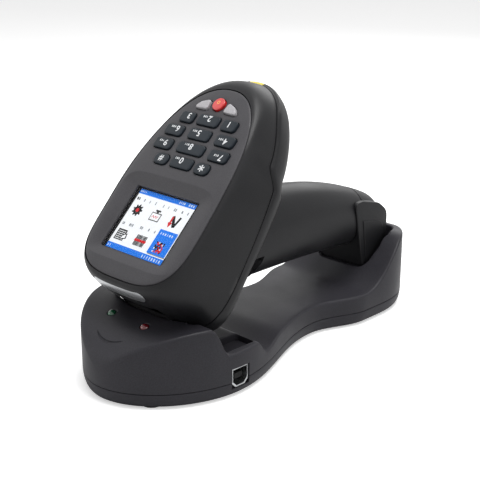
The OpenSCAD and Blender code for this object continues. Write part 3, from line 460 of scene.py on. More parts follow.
def deck(y):
    """Height of the housing's upper surface."""
    if y < HUMP_Y:
        share = (y - HUMP_Y) / (HALF_L + HUMP_Y)
        return LIP_Z + (FRONT_Z - LIP_Z) * sqrt(max(0, 1 - share ** 2))
    tail = max(0, y - HALF_L + TAIL_R) / TAIL_R
    return (FRONT_Z - (FRONT_Z - SHELF_Z) * step(y, *TO_SHELF)
            - (SHELF_Z - DECK_Z + TROUGH) * step(y, *TO_TROUGH) + TROUGH * step(y, *TO_DECK)
            + (REAR_Z - DECK_Z) * step(y, *TO_REAR)
            - TAIL_DROP * (1 - sqrt(max(0, 1 - min(1, tail) ** 2))))


def cradle_ring(inset, z):
    """The cradle's plan from its front tip, moved inwards, at a height or a function of y."""
    half = []
    for i in range(36):
        a = radians(270 + 90 * i / 36)
        half.append(((FRONT_W / 2 - inset) * power(cos(a), 2 / FRONT_POWER),
                     FRONT_Y + (HALF_L + FRONT_Y - inset) * power(sin(a), 2 / FRONT_POWER)))
    for i in range(70):
        y = mix(FRONT_Y, TAIL_Y, i / 70)
        half.append((half_width(y) - inset, y))
    for i in range(41):
        a = radians(90 * (i / 40) ** 1.3) if i < 40 else pi / 2
        half.append(((REAR_W / 2 - inset) * power(cos(a), 2 / REAR_POWER),
                     TAIL_Y + (HALF_L - TAIL_Y - inset) * power(sin(a), 2 / REAR_POWER)))
    half[0] = (0, half[0][1])
    half[-1] = (0, half[-1][1])
    half += [(-x, y) for x, y in reversed(half[1:-1])]
    return [(x, y, z(y) if callable(z) else z) for x, y in half]


rings = [cradle_ring(0.6, SEAM_Z), cradle_ring(0.15, SEAM_Z + 0.15), cradle_ring(0, SEAM_Z + 0.6)]
rings += [cradle_ring(RIM_R * (1 - cos(a)), lambda y: deck(y) - RIM_R * (1 - sin(a)))
          for a in map(radians, range(0, 91, 15))]
housing = solid("cradle_housing_moulding", rings, cradle_abs, 20, deck)

# The face's own frame: x to the right, v up the face and n straight out of it. The head's
# outline on it is an egg.
FACE = shift(0, -65.65, 110.6) @ Matrix.Rotation(radians(44.5), 4, "X")
EGG_V = -20
REAR_BOW, NOSE_BOW = (2.25, 2.6), (3.2, 3.7)
HEAD_HALF, HEAD_REAR, HEAD_NOSE = 42.5, 76, -62.5
ANGLE_COUNT, ANGLE_STEPS = 240, 7200


def egg_point(a, w, rear, nose):
    """A point at angle a on the egg outline of the head, from its half width and its ends."""
    c, s = cos(a), sin(a)
    if s >= 0:
        return w * power(c, 2 / REAR_BOW[0]), EGG_V + (rear - EGG_V) * s ** (2 / REAR_BOW[1])
    return w * power(c, 2 / NOSE_BOW[0]), EGG_V + (nose - EGG_V) * abs(s) ** (2 / NOSE_BOW[1])


def even_angles(count, fine):
    """Angles at which points on the egg lie at even distances along it."""
    row = [Vector(egg_point(2 * pi * i / fine, HEAD_HALF, HEAD_REAR, HEAD_NOSE))
           for i in range(fine + 1)]
    run = [0]
    for i in range(fine):
        run.append(run[-1] + (row[i + 1] - row[i]).length)
    found, at = [], 0
    for k in range(count):
        while run[at + 1] < run[-1] * k / count:
            at += 1
        share = (run[-1] * k / count - run[at]) / max(run[at + 1] - run[at], 1e-9)
        found.append(2 * pi * (at + share) / fine)
    return found


ANGLES = even_angles(ANGLE_COUNT, ANGLE_STEPS)


def egg(w, rear, nose):
    return [egg_point(a, w, rear, nose) for a in ANGLES]


def head_outline(grow):
    return egg(HEAD_HALF + grow, HEAD_REAR + grow, HEAD_NOSE - grow)


def face_points(rings):
    """Rings given in the face's own frame, as rings in the cradle's frame."""
    return [[tuple(FACE @ Vector(p)) for p in ring] for ring in rings]


def face_solid(name, rings, material=None, smooth=32):
    """A closed solid over rings in the face's frame."""
    return make_mesh(name, *capped(face_points(rings)), material, smooth)


def face_loop(name, rings, material):
    """A closed tube whose cross-section runs through rings in the face's frame."""
    return make_mesh(name, *skin(face_points(rings), loop=True), material)


def socket_level(x, v):
    """How far out of the face's plane the deck lies, straight out from a point of it."""
    def below(n):
        p = FACE @ Vector((x, v, n))
        return p.z < deck(min(p.y, HALF_L))
    return halve(-70, 60, 30, below)[0]


# The socket is the head's own outline, a little larger, with a rounded lip.
SOCKET_GAP, LIP_R = 0.3, 0.9
rings = [[(x, v, -59) for x, v in head_outline(SOCKET_GAP)]]
for t in (0, 30, 60, 80):
    grow, drop = LIP_R * (1 - cos(radians(t))), LIP_R * (1 - sin(radians(t)))
    rings.append([(x, v, max(-58, socket_level(x, v) - drop))
                  for x, v in head_outline(SOCKET_GAP + grow)])
rings.append([(x, v, n + 2.5) for (x, v), (_, _, n) in zip(head_outline(2.4), rings[-1])])
rings.append([(x, v, n + 60) for x, v, n in rings[-1]])
socket = face_solid("socket_tool", rings)

NOTCH_X, NOTCH_Y, NOTCH_Z, NOTCH_W, NOTCH_L, NOTCH_R, NOTCH_WALL = 36.5, -57, 20.6, 15, 24, 3, 1.8
POCKET_Y0, POCKET_Y1, POCKET_Z, POCKET_W, POCKET_R = 78.2, 111, 26.7, 42, 7.5
USB_Y, USB_Z, USB_X, USB_W, USB_H, USB_L, PORT_GAP = -61.3, 5.3, 48, 12, 11, 16, 0.4
LAMP_X, LAMP_Y, LAMP_D, LAMP_GAP, LAMP_LOW = 13.55, -97.4, 5, 0.3, 28
PIN_Y, PIN_D, PIN_GAP = 92, 1.8, 0.4
PIN_X = [(i - 1.5) * 5 for i in range(4)]
HIGH_UP = 200


def pocket_outline(grow, n=6):
    return moved(rounded_rect(POCKET_W + 2 * grow, POCKET_Y1 - POCKET_Y0 + 2 * grow,
                              POCKET_R + grow, n), 0, (POCKET_Y0 + POCKET_Y1) / 2)


def notch_outline(side, grow, n=6):
    return moved(rounded_rect(NOTCH_W + 2 * grow, NOTCH_L + 2 * grow, NOTCH_R + grow, n),
                 side * NOTCH_X, NOTCH_Y)


def port_tool():
    return cuboid((USB_X - USB_L, USB_Y - USB_W / 2 - PORT_GAP, USB_Z - PORT_GAP),
                  (USB_X + 5, USB_Y + USB_W / 2 + PORT_GAP, USB_Z + USB_H + PORT_GAP))


def crescent_tool():
    """A tapering wire along an arc on the front slope, which leaves the thumb mark's groove."""
    reach, depth, middle_y, thick = 11, 3.2, -113.1, 0.75
    rings = []
    for i in range(25):
        t = i / 12 - 1
        x, y = t * reach, middle_y + depth * t * t
        section = arc(y, deck(y) + 0.1, thick * (1 - t * t) ** 0.5 + 0.06, range(0, 360, 30))
        rings.append([(x, y, z) for y, z in section])
    return make_mesh("crescent_tool", *capped(rings))


cavity = solid("cavity_tool", [
    cradle_ring(CRADLE_WALL, SEAM_Z - 1),
    cradle_ring(CRADLE_WALL, lambda y: deck(y) - CRADLE_WALL - 1.5),
    cradle_ring(CRADLE_WALL + 1.5, lambda y: deck(y) - CRADLE_WALL)],
    None, 4, lambda y: deck(y) - CRADLE_WALL)
boolean(cavity, prism("keep", pocket_outline(CRADLE_WALL), POCKET_Z - CRADLE_WALL, HIGH_UP))
for side in (-1, 1):
    boolean(cavity, prism("keep", notch_outline(side, NOTCH_WALL), NOTCH_Z - NOTCH_WALL, HIGH_UP))
boolean(housing, cavity)
boolean(housing, socket)
boolean(housing, mouth("pocket_tool", lambda d: pocket_outline(d, 10), POCKET_Z, deck, 1.2))
for side in (-1, 1):
    boolean(housing, mouth("notch_tool", lambda d: notch_outline(side, d, 8), NOTCH_Z, deck, 0.8))
for side in (-1, 1):
    boolean(housing, mouth("lamp_tool", lambda d: disc(
        side * LAMP_X, LAMP_Y, LAMP_D + LAMP_GAP + 2 * d), LAMP_LOW, deck, 0.5))
for x in PIN_X:
    boolean(housing, prism("pin_tool", disc(x, PIN_Y, PIN_D + PIN_GAP), 10, POCKET_Z + 3))
boolean(housing, port_tool())
boolean(housing, crescent_tool())
dress(housing, "cradle", "cradle_housing")

# ---- Base tray ----
# The tray under the housing is the same ABS. It narrows towards the table, stands on four
# feet, and its top edge is set back a little, which leaves the dark seam under the housing.
BASE_Z = 0.8
tray = solid("cradle_base_tray", [cradle_ring(d, BASE_Z + z) for d, z in (
    (3.4, 0), (2.7, 0.15), (2.1, 0.6), (1.6, 1.2), (1.1, 2.2), (0.7, 3.4), (0.4, 4.8),
    (0.2, 6.2), (0.1, 7.4), (0.25, 7.7), (0.7, 7.8))], cradle_abs)
boolean(tray, solid("tray_tool", [cradle_ring(4, BASE_Z + 2.2), cradle_ring(4, 20)]))
boolean(tray, port_tool())
FEET, FOOT_D, FOOT_IN = ((-22, -101), (22, -101), (-22, 88), (22, 88)), 12.4, 0.8
TRAY_SCREWS, HEAD_D, HEAD_IN = ((-34, -88), (34, -88), (-19, 38), (19, 38)), 6, 3.5
for places, d, deep in ((FEET, FOOT_D, FOOT_IN), (TRAY_SCREWS, HEAD_D, HEAD_IN)):
    for x, y in places:
        boolean(tray, prism("tray_hole_tool", disc(x, y, d), -1, BASE_Z + deep))
dress(tray, "cradle", "cradle_base")

# ---- Head shells ----
# Two charcoal ABS shells meet at a stepped seam. The upper one carries the face plate and the
# metal badge on the nose; the lower one is a deep bowl that the handle's neck runs into.
PLATE_HALF, PLATE_REAR, PLATE_NOSE = 37.9, 62, -59.6
PLATE_TOP, PLATE_CROWN, NOSE_DIP, PLATE_T = -1.1, 1.5, 1.7, 2
HEAD_WALL, SEAM_C, NOSE_BELLY, UNDER_BULGE = 2.2, 0.1, 3, 2.8
SEAM_N, SEAM_RUN, SEAM_JOG, SEAM_SLOPE = -15, 5, 11, 16
RUN_V, JOG_V, SLOPE_L = (62, 32), (32.4, 21.4), 82
SIDE_TURN = radians(66)
POLE_V, UNDER_POWER, UNDER_N, UNDER_SLOPE = 10, 3.8, -49, 0.14
shell_abs = moulded_plastic("spark_textured_charcoal_abs", "#19191b", "#1f1f21", 0.4, 0.6, 0.04)


def seam_n(v):
    """Level of the seam: a shallow run, a jog and a slope to the nose."""
    return (SEAM_N - SEAM_RUN * step(v, *RUN_V) - SEAM_JOG * step(v, *JOG_V)
            - SEAM_SLOPE * min(max((JOG_V[1] - v) / SLOPE_L, 0), 1))


def edge_n(v):
    """Level of the face plate's edge, which drops towards the nose."""
    return PLATE_TOP - PLATE_CROWN - NOSE_DIP * step(-v, -10, 40)


def under(v):
    return UNDER_N + UNDER_SLOPE * v - 6 * step(-v, 25, 60)


def side_ring(t, inset, lift=0):
    """A ring of the upper shell, from the plate's edge at 0 to the seam at 1."""
    out = sin(SIDE_TURN * t) / sin(SIDE_TURN)
    down = (1 - cos(SIDE_TURN * t)) / (1 - cos(SIDE_TURN))
    belly = NOSE_BELLY * sin(pi * min(1, t / 0.8))
    half, rear, nose = (mix(a, b, out) for a, b in (
        (PLATE_HALF, HEAD_HALF), (PLATE_REAR, HEAD_REAR), (PLATE_NOSE, HEAD_NOSE)))
    whole = egg(half, rear, nose - belly)
    return [(x, v, mix(edge_n(w), seam_n(w), down) + lift) for (x, v), (_, w) in zip(
        egg(half - inset, rear - inset, nose - belly + inset), whole)]


def under_ring(t, inset, drop=0.0):
    """A ring of the lower shell, from the seam at 0 to the middle of its bottom at 1."""
    c, s = (f(pi / 2 * t) ** (2 / UNDER_POWER) for f in (cos, sin))
    lip = UNDER_BULGE * (0.35 + 0.65 * min(1, t / 0.01) ** 0.25)
    ring = []
    for a, (_, w) in zip(ANGLES, head_outline(0)):
        b = lip * step(w, -20, 40)
        x, v = egg_point(a, HEAD_HALF + 0.4 * b - inset, HEAD_REAR + b - inset,
                         HEAD_NOSE + inset)
        v = POLE_V + (v - POLE_V) * c
        ring.append((x * c, v, mix(seam_n(w) - SEAM_C - drop, under(v) + inset, s)))
    return ring


def on_edge(grow, drop):
    """A ring around the face plate, at a drop below the level of its edge."""
    return [(x, v, edge_n(v) - drop)
            for x, v in egg(PLATE_HALF + grow, PLATE_REAR + grow, PLATE_NOSE - grow)]


SEAT_DROP, LEDGE_DROP, LEDGE_W = 2.1, 3.5, 2.6
rings = [side_ring(1, 0.7, 0.15), side_ring(1, 0.25, 0.25), side_ring(1, 0, 0.7)]
rings += [side_ring(t / 20, 0) for t in range(19, 2, -1)]
rings += [on_edge(grow, drop) for grow, drop in (
    (0.62, 0.03), (0.48, 0.12), (0.4, 0.4), (0.4, SEAT_DROP), (-LEDGE_W, SEAT_DROP),
    (-LEDGE_W, LEDGE_DROP), (-0.6, LEDGE_DROP))]
rings += [[(x, v, min(n, edge_n(v) - LEDGE_DROP - 0.3 - k)) for x, v, n in side_ring(t, HEAD_WALL)]
          for k, t in enumerate((0.45, 0.6, 0.75, 0.9))]
rings += [side_ring(1, HEAD_WALL, 0.15)]
upper_shell = face_loop("head_upper_moulding", rings, shell_abs)

SCAN_W, SCAN_H, SCAN_N = 38, 15, -31
TURNS = [0.985, 0.96, 0.93] + [t / 20 for t in range(18, 0, -1)] + [0.03, 0.015, 0.006, 0.002]
BADGE_W, BADGE_H, BADGE_N = 40, 7.4, -11
LENS_W, LENS_H, LENS_IN = 11, 5, 6


def nose_prism(name, outline, v0, v1, n):
    """A prism along the face whose outline is drawn across the nose."""
    return face_solid(name, [[(x, v, n + z) for x, z in outline] for v in (v1, v0)])


def side_block(name, inset, material=None):
    """The upper shell's outside as one solid, moved inwards."""
    return face_solid(name, [side_ring(t / 20, inset) for t in range(20, -1, -1)], material)


def badge_tool(grow):
    outline = rounded_rect(BADGE_W + 2 * grow, BADGE_H + 2 * grow, BADGE_H / 2 + grow - 0.05, 14)
    return nose_prism("badge_tool", outline, HEAD_NOSE - NOSE_BELLY - 2, HEAD_NOSE + 6, BADGE_N)


def lens_tool(grow):
    """The block that the lamp lens fills in the lower shell's rim."""
    low, high = seam_n(HEAD_REAR) - LENS_H - grow, seam_n(HEAD_REAR) - SEAM_C + 3 * grow
    outline = rounded_rect(LENS_W + 2 * grow, high - low, 0.8)
    return nose_prism("lens_tool", outline, HEAD_REAR - LENS_IN - grow, HEAD_REAR + 6,
                      (low + high) / 2)


recess = badge_tool(0.3)
boolean(recess, side_block("recess_floor", 0.9))
boolean(upper_shell, recess)
boolean(upper_shell, nose_prism("scan_tool", rounded_rect(SCAN_W, SCAN_H, 1.5),
                                HEAD_NOSE - 5, HEAD_NOSE + 7, SCAN_N))
dress(upper_shell, "terminal", "head_upper_shell")

rings = [under_ring(t, 0) for t in TURNS]
rings += [under_ring(0, 0, 0.5), under_ring(0, 0.25, 0.12), under_ring(0, 0.7, 0.02)]
rings += [under_ring(0, HEAD_WALL, 0.02)] + [under_ring(t / 8, HEAD_WALL) for t in range(1, 8)]
points, faces = skin(face_points(rings))
n = len(ANGLES)
for first, pole_n, up in ((0, under(POLE_V), False),
                          (len(points) - n, under(POLE_V) + HEAD_WALL, True)):
    points.append(tuple(FACE @ Vector((0, POLE_V, pole_n))))
    fan = [(first + i, first + (i + 1) % n, len(points) - 1) for i in range(n)]
    faces += fan if up else [f[::-1] for f in fan]
lower_shell = make_mesh("head_lower_moulding", points, faces, shell_abs)

SCREW_X, SCREW_REAR_X, POST_D = PLATE_HALF - 3.6, PLATE_HALF - 11, 5.4
HANDLE_HALF, HANDLE_TOP, HANDLE_BOTTOM, HANDLE_WALL, NECK_Y, CAP_Y = 19, 91.5, 42.5, 2.4, -58, 84
TOP_FALL, SLIMMING, HANDLE_BOW, HANDLE_STEPS = 0.0022, 0.0005, 0.93, 36
TRIGGER_Y, TRIGGER_Z, TRIGGER_R, TRIGGER_TOP = -35, 62, 24, 58


def handle_half(y, inset):
    """Half of the handle's section at y, from its bottom line to its top line."""
    fall = max(0, y) ** 2
    top, bottom = HANDLE_TOP - TOP_FALL * fall, HANDLE_BOTTOM - SLIMMING * fall
    half, middle, r = HANDLE_HALF - SLIMMING * fall, (top + bottom) / 2, (top - bottom) / 2
    points = []
    for i in range(HANDLE_STEPS + 1):
        a = radians(-90 + 180 * i / HANDLE_STEPS)
        points.append(((half - inset) * max(0, cos(a)) ** HANDLE_BOW,
                       middle + (r - inset) * power(sin(a), HANDLE_BOW)))
    points[0] = (0, points[0][1])
    points[-1] = (0, points[-1][1])
    return points


def handle_section(y, inset):
    right = handle_half(y, inset)
    return right + [(-x, z) for x, z in reversed(right[1:-1])]


neck = [(x, max(z, TRIGGER_TOP)) for x, z in handle_section(NECK_Y, -0.2)]
boolean(lower_shell, long_prism("neck_tool", neck, -2, NECK_Y - 8))
boolean(lower_shell, lens_tool(0.2))
for x, v in ((-SCREW_X, 2), (SCREW_X, 2), (-SCREW_REAR_X, 44.5), (SCREW_REAR_X, 44.5)):
    post = prism("post_tool", disc(x, v, POST_D), seam_n(v) - 60, seam_n(v) - 5)
    move_mesh(post.data, FACE)
    boolean(lower_shell, post)
dress(lower_shell, "terminal", "head_lower_shell")

# ---- Nose badge ----
# A brushed aluminium oval stuck into a shallow recess on the nose. It is left bare. The brush
# lines run across the badge, about 0.15 mm apart.
metal, tree = new_material("brushed_aluminium_badge")
stretch = add_node(tree, "ShaderNodeMapping", {
    "Vector": add_node(tree, "ShaderNodeTexCoord").outputs["Object"], "Scale": (60, 5000, 5000)})
brush = add_node(tree, "ShaderNodeTexNoise", {"Vector": stretch, "Scale": 1, "Detail": 3})
finish_material(tree, {
    "Base Color": linear("#c6c8ca"), "Metallic": 1,
    "Roughness": map_range(tree, brush, 0.26, 0.42), "Normal": relief(tree, brush, 0.25, 0.03)})
badge = side_block("badge_plate", -0.1, metal)
boolean(badge, badge_tool(0), "INTERSECT")
boolean(badge, side_block("badge_back", 0.8))
dress(badge, "terminal", "name_badge")

# ---- Lamp lens ----
# A clear yellow light guide pressed into the seam at the head's upper end.
lens_clear = clear_plastic("yellow_polycarbonate_lens", "#f2dc4c", 0.2, 0.2)
lens = face_solid("lamp_lens", [under_ring(t, 0) for t in TURNS], lens_clear)
boolean(lens, lens_tool(0), "INTERSECT")
dress(lens, "terminal", "indicator_lens")

# ---- Face plate ----
# The plate over the keys and the screen is a domed grey ABS moulding with a finer grain. Its
# middle falls into a dish around the window, and each key comes up through its own hole.
SCREEN_V, SCREEN_W, SCREEN_H = -25.8, 45, 37.8
WINDOW_W, WINDOW_H, WINDOW_N, WINDOW_T, SEAT_T = SCREEN_W + 3.8, SCREEN_H + 1, -4.7, 1, 0.5
DISH_SIDE, DISH_NEAR, DISH_FAR, DISH_LIFT = 11.2, 6.3, 7.6, 0.1
DISH_BOWS, DISH_SOFT, DISH_STEPS = (14, 6), 0.05, 96
KEY_GAP, GRID = 0.25, 1.5
POWER_V, POWER_D = 50.8, 8
plate_abs = moulded_plastic("fine_grained_grey_abs", "#444346", "#4a494c", 0.44, 0.45, 0.03)


def key_place(i):
    """Middle, size and corner radius of number key i, from the top left of the pad."""
    row, col = 3 - i // 3, 1 - i % 3
    side = abs(col)
    spread = (15.8, 21.4, 19.6, 16.1)[row]
    width = 13.4 - (3 if row in (0, 3) else 0) if side else 16 + (4 if row == 1 else 0)
    return (col * spread, 11.4 + 9.4 * row - 0.4 * side, width, 6.6,
            2.8 if side and row == 0 else 1.8)


def function_outline(side, grow):
    """The rounded triangle of a function key, pointing away from the power key."""
    shape = rounded([(-2.4 - grow, 4.2 + 1.6 * grow, 1.2), (-3.5 - grow, -2.2 - grow, 1.2),
                     (6.8 + 1.8 * grow, -2.4 - grow, 1), (3.2 + 0.7 * grow, 2 + 0.7 * grow, 3)])
    if side < 0:
        shape = [(-x, y) for x, y in reversed(shape)]
    return moved(shape, side * 9.5, 48.6)


def number_outline(i, grow):
    x, v, w, h, r = key_place(i)
    return moved(rounded_rect(w + 2 * grow, h + 2 * grow, r + grow), x, v)


HOLES = [lambda g, i=i: number_outline(i, g) for i in range(12)]
HOLES += [lambda g, s=s: function_outline(s, g) for s in (-1, 1)]
HOLES += [lambda g: disc(0, POWER_V, POWER_D + 2 * g)]


def plate_share(x, v):
    """How far a point lies from the plate's middle to its edge, from 0 to 1."""
    dv = v - EGG_V
    wide, long = REAR_BOW if dv >= 0 else NOSE_BOW
    reach = PLATE_REAR - EGG_V if dv >= 0 else EGG_V - PLATE_NOSE
    return halve(1e-6, 1.6, 26, lambda r: (abs(x) / (r * PLATE_HALF)) ** wide
                 + (abs(dv) / (r * reach)) ** long > 1)[1]


def rect_distance(x, y, w, h, r):
    """Signed distance from a rounded rectangle, below 0 inside it."""
    dx, dy = abs(x) - w / 2 + r, abs(y) - h / 2 + r
    return hypot(max(dx, 0), max(dy, 0)) + min(max(dx, dy), 0) - r


def dish_outline(k):
    """The dish at a share k of the way from the window to its crease."""
    half = WINDOW_W / 2 + k * DISH_SIDE
    v0 = SCREEN_V - WINDOW_H / 2 - k * DISH_NEAR
    v1 = SCREEN_V + WINDOW_H / 2 + k * DISH_FAR
    return half, (v0 + v1) / 2, (v1 - v0) / 2, mix(*DISH_BOWS, k)


def dish_share(x, v):
    """How far a point lies from the window's edge, 0, to the dish's crease, 1."""
    def outside(k):
        half, middle, tall, bow = dish_outline(k)
        return abs(x / half) ** bow + abs((v - middle) / tall) ** bow > 1
    return halve(0, 1.3, 22, outside)[1]


def dish_loop(k):
    half, middle, tall, bow = dish_outline(k)
    return [(half * power(cos(a), 2 / bow), middle + tall * power(sin(a), 2 / bow))
            for a in [2 * pi * i / DISH_STEPS for i in range(DISH_STEPS)]]


def plate_level(x, v):
    """Height of the plate's upper surface: a dome with a dish whose crease is a little round."""
    crown = PLATE_TOP - (PLATE_TOP - edge_n(v)) * min(plate_share(x, v), 1) ** 8
    if not (abs(x) < WINDOW_W / 2 + 1.3 * DISH_SIDE and v < SCREEN_V + WINDOW_H / 2 + 12):
        return crown
    k = dish_share(x, v)
    if k > 1 - DISH_SOFT:
        k = 1 - max(0, 1 + DISH_SOFT - k) ** 2 / (4 * DISH_SOFT)
    return mix(WINDOW_N + DISH_LIFT, crown, min(k, 1))


plan_points, plan_edges = [], []


def add_loop(outline, level):
    """Adds a closed line, at level(x, v), that the plate's mesh follows."""
    start, count = len(plan_points), len(outline)
    plan_points.extend((x, v, level(x, v)) for x, v in outline)
    plan_edges.extend((start + i, start + (i + 1) % count) for i in range(count))


def under_plate(drop):
    return lambda x, v: plate_level(x, v) - drop


def scaled_plate(share):
    return [(x * share, EGG_V + (v - EGG_V) * share)
            for x, v in egg(PLATE_HALF, PLATE_REAR, PLATE_NOSE)[::2]]


edge = scaled_plate(1)
add_loop(edge, lambda x, v: edge_n(v) - 0.35)
for share, drop in ((0.9965, 0.08), (0.985, 0)):
    add_loop(scaled_plate(share), under_plate(drop))
for grow, drop in ((0, 0.45), (0.14, 0.14), (0.45, 0)):
    for hole in HOLES:
        add_loop(hole(KEY_GAP + grow), under_plate(drop))
WINDOW_HOLE = moved(rounded_rect(WINDOW_W + 0.2, WINDOW_H + 0.2, 1), 0, SCREEN_V)
add_loop(WINDOW_HOLE, under_plate(0.25))
add_loop(moved(rounded_rect(WINDOW_W + 0.7, WINDOW_H + 0.7, 1.2), 0, SCREEN_V), plate_level)
for k in (0.1, 0.22, 0.36, 0.5, 0.64, 0.78, 0.88, 0.94, 0.98, 1.02, 1.06, 1.1):
    add_loop(dish_loop(k), plate_level)


def near_hole(x, v):
    """True where a grid point would lie in or close to a hole or the dish."""
    if plate_share(x, v) > 0.965 or v < 8 and dish_share(x, v) < 1.15:
        return True
    for i in range(12):
        kx, kv, w, h, r = key_place(i)
        if rect_distance(x - kx, v - kv, w + 2.2, h + 2.2, r) < 0:
            return True
    return abs(x) < 20 and 44.5 < v < 56.5 and plate_share(x, v) < 0.93


row = PLATE_NOSE
while row < PLATE_REAR:
    x = -PLATE_HALF
    while x < PLATE_HALF:
        if not near_hole(x, row):
            plan_points.append((x, row, plate_level(x, row)))
        x += GRID
    row += GRID
found = delaunay_2d_cdt([Vector(p[:2]) for p in plan_points], plan_edges, [], 0, 1e-6)
flat, triangles, sources = found[0], found[2], found[3]
levels = [plan_points[s[0]][2] if s else plate_level(*p) for p, s in zip(flat, sources)]


def within(x, y, outline):
    """True inside a polygon."""
    inside = False
    for (x0, y0), (x1, y1) in zip(outline[-1:] + outline, outline):
        if (y0 > y) != (y1 > y) and x < (x1 - x0) * (y - y0) / (y1 - y0) + x0:
            inside = not inside
    return inside


gaps = [hole(KEY_GAP) for hole in HOLES] + [WINDOW_HOLE]
boxes = [(min(p[0] for p in g), max(p[0] for p in g), min(p[1] for p in g),
          max(p[1] for p in g)) for g in gaps]
kept = []
for face in triangles:
    cx, cy = (sum(flat[i][axis] for i in face) / len(face) for axis in (0, 1))
    if within(cx, cy, edge) and not any(
            b[0] <= cx <= b[1] and b[2] <= cy <= b[3] and within(cx, cy, g)
            for b, g in zip(boxes, gaps)):
        kept.append(face)

# The plate has upright walls around its edge and its holes.
used = sorted({i for face in kept for i in face})
index = {old: new for new, old in enumerate(used)}
count = len(used)
points = [(flat[i].x, flat[i].y, levels[i]) for i in used]
points += [(x, v, n - PLATE_T) for x, v, n in points]
top = [tuple(index[i] for i in face) for face in kept]
edges = {(a, b): True for f in top for a, b in zip(f, f[1:] + f[:1])}
walls = [(a + count, b + count, b, a) for a, b in edges if (b, a) not in edges]
below = [tuple(i + count for i in reversed(f)) for f in top]
face_plate = make_mesh("face_plate_moulding", [FACE @ Vector(p) for p in points],
                       top + below + walls, plate_abs, 40)
dress(face_plate, "terminal", "face_plate")

# ---- Window mask ----
# A thin black gasket lies under the window's rim and hides the edge of the display.
black_abs = moulded_plastic("black_gasket_plastic", "#0b0b0c", "#101011", 0.5, 0.5, 0.02)
mask_out = rounded_rect(WINDOW_W + 1.4, WINDOW_H + 1.4, 1, 8)
mask_in = rounded_rect(SCREEN_W - 0.2, SCREEN_H - 0.1, 0.3, 8)
MASK_TOP, PICTURE_N = WINDOW_N - WINDOW_T - 0.02, WINDOW_N - WINDOW_T - SEAT_T
mask = face_loop("window_gasket", [[(x, v + SCREEN_V, n) for x, v in outline] for outline, n in (
    (mask_out, PICTURE_N), (mask_out, MASK_TOP), (mask_in, MASK_TOP), (mask_in, PICTURE_N))],
    black_abs)
dress(mask, "terminal")

# ---- Keys ----
# The number keys are dark blue-grey polycarbonate pillows with white printed numerals, the
# two function keys are pale grey, and the power key is a red dome.
KEY_TOP, KEY_FOOT, KEY_CROWN = -0.15, -9, 0.1
PRINT_N = KEY_TOP + KEY_CROWN + 0.01
key_abs = moulded_plastic("satin_blue_grey_key_plastic", "#1d242a", "#222930", 0.34, 0.35, 0.015)
function_abs = moulded_plastic("satin_pale_grey_key_plastic", "#aeacaf", "#b6b4b7", 0.38, 0.4,
                               0.02)
ink = plain_surface("white_key_ink", 4000, 1, 0.5, 0.65, {"Base Color": linear("#e4e6e8")})


def pillow(name, outline, centre, crown, material):
    """A key cap: straight sides, a rounded edge and a slightly crowned top."""
    rings = [[(x, v, n) for x, v in outline(d)] for d, n in (
        (0, KEY_FOOT), (0, KEY_TOP - 0.5), (-0.05, KEY_TOP - 0.26), (-0.18, KEY_TOP - 0.09),
        (-0.42, KEY_TOP))]
    for share in (0.85, 0.65, 0.4, 0.15):
        rings.append([(mix(centre[0], x, share), mix(centre[1], v, share),
                       KEY_TOP + crown * (1 - share ** 2)) for x, v in outline(-0.42)])
    return face_solid(name, rings, material, 50)


def numeral(name, text, x, v, size):
    """A printed numeral, upright for someone who looks from the keys towards the nose."""
    curve = bpy.data.curves.new(name, "FONT")
    curve.body = text
    curve.size, curve.extrude, curve.offset = size * MM, 0.02 * MM, 0.09 * MM
    curve.align_x = curve.align_y = "CENTER"
    source = place(curve, name + "_curve")
    piece = place(evaluated_mesh(source), name)
    bpy.data.objects.remove(source)
    move_mesh(piece.data, FACE @ shift(x, v, PRINT_N) @ Matrix.Rotation(pi, 4, "Z"))
    coat_with(piece, ink)
    piece.data.name = name
    return piece


def geometry_tree(name, **sockets):
    """An empty geometry tree with named inputs, and its input node."""
    tree = bpy.data.node_groups.new(name, "GeometryNodeTree")
    for label, kind in sockets.items():
        tree.interface.new_socket(label, in_out="INPUT", socket_type="NodeSocket" + kind)
    tree.interface.new_socket("Mesh", in_out="OUTPUT", socket_type="NodeSocketGeometry")
    return tree, add_node(tree, "NodeGroupInput").outputs


def finish_tree(tree, socket, material):
    """Ends a geometry tree: real mesh, one material, output."""
    real = add_node(tree, "GeometryNodeRealizeInstances", {0: socket})
    coated = add_node(tree, "GeometryNodeSetMaterial", {"Geometry": real, "Material": material})
    add_node(tree, "NodeGroupOutput", {0: coated})


def grow_mesh(tree, name, **values):
    """Runs a geometry tree with its inputs set and keeps the result as a plain mesh."""
    piece = place(bpy.data.meshes.new(name), name)
    maker = piece.modifiers.new("maker", "NODES")
    maker.node_group = tree
    for item in tree.interface.items_tree:
        if item.in_out == "INPUT":
            maker[item.identifier] = values[item.name]
    bake(piece)
    return piece


mark_row, given = geometry_tree("row_of_marks", Count="Int", Pitch="Float", Width="Float",
                                Height="Float", Thickness="Float", Narrowest="Float",
                                Seed="Int", Ink="Material")
line = add_node(mark_row, "GeometryNodeMeshLine", {
    "Count": given["Count"],
    "Offset": add_node(mark_row, "ShaderNodeCombineXYZ", {"X": given["Pitch"]})})
size = add_node(mark_row, "ShaderNodeCombineXYZ", {
    "X": given["Width"], "Y": given["Height"], "Z": given["Thickness"]})
block = add_node(mark_row, "GeometryNodeMeshCube", {"Size": size})
share = add_node(mark_row, "FunctionNodeRandomValue", {
    2: given["Narrowest"], 3: 1.0, "Seed": given["Seed"]}, data_type="FLOAT")
wide = add_node(mark_row, "ShaderNodeCombineXYZ", {"X": share.outputs[1], "Y": 1, "Z": 1})
spots = add_node(mark_row, "GeometryNodeInstanceOnPoints", {
    "Points": line, "Instance": block, "Scale": wide})
finish_tree(mark_row, spots, given["Ink"])


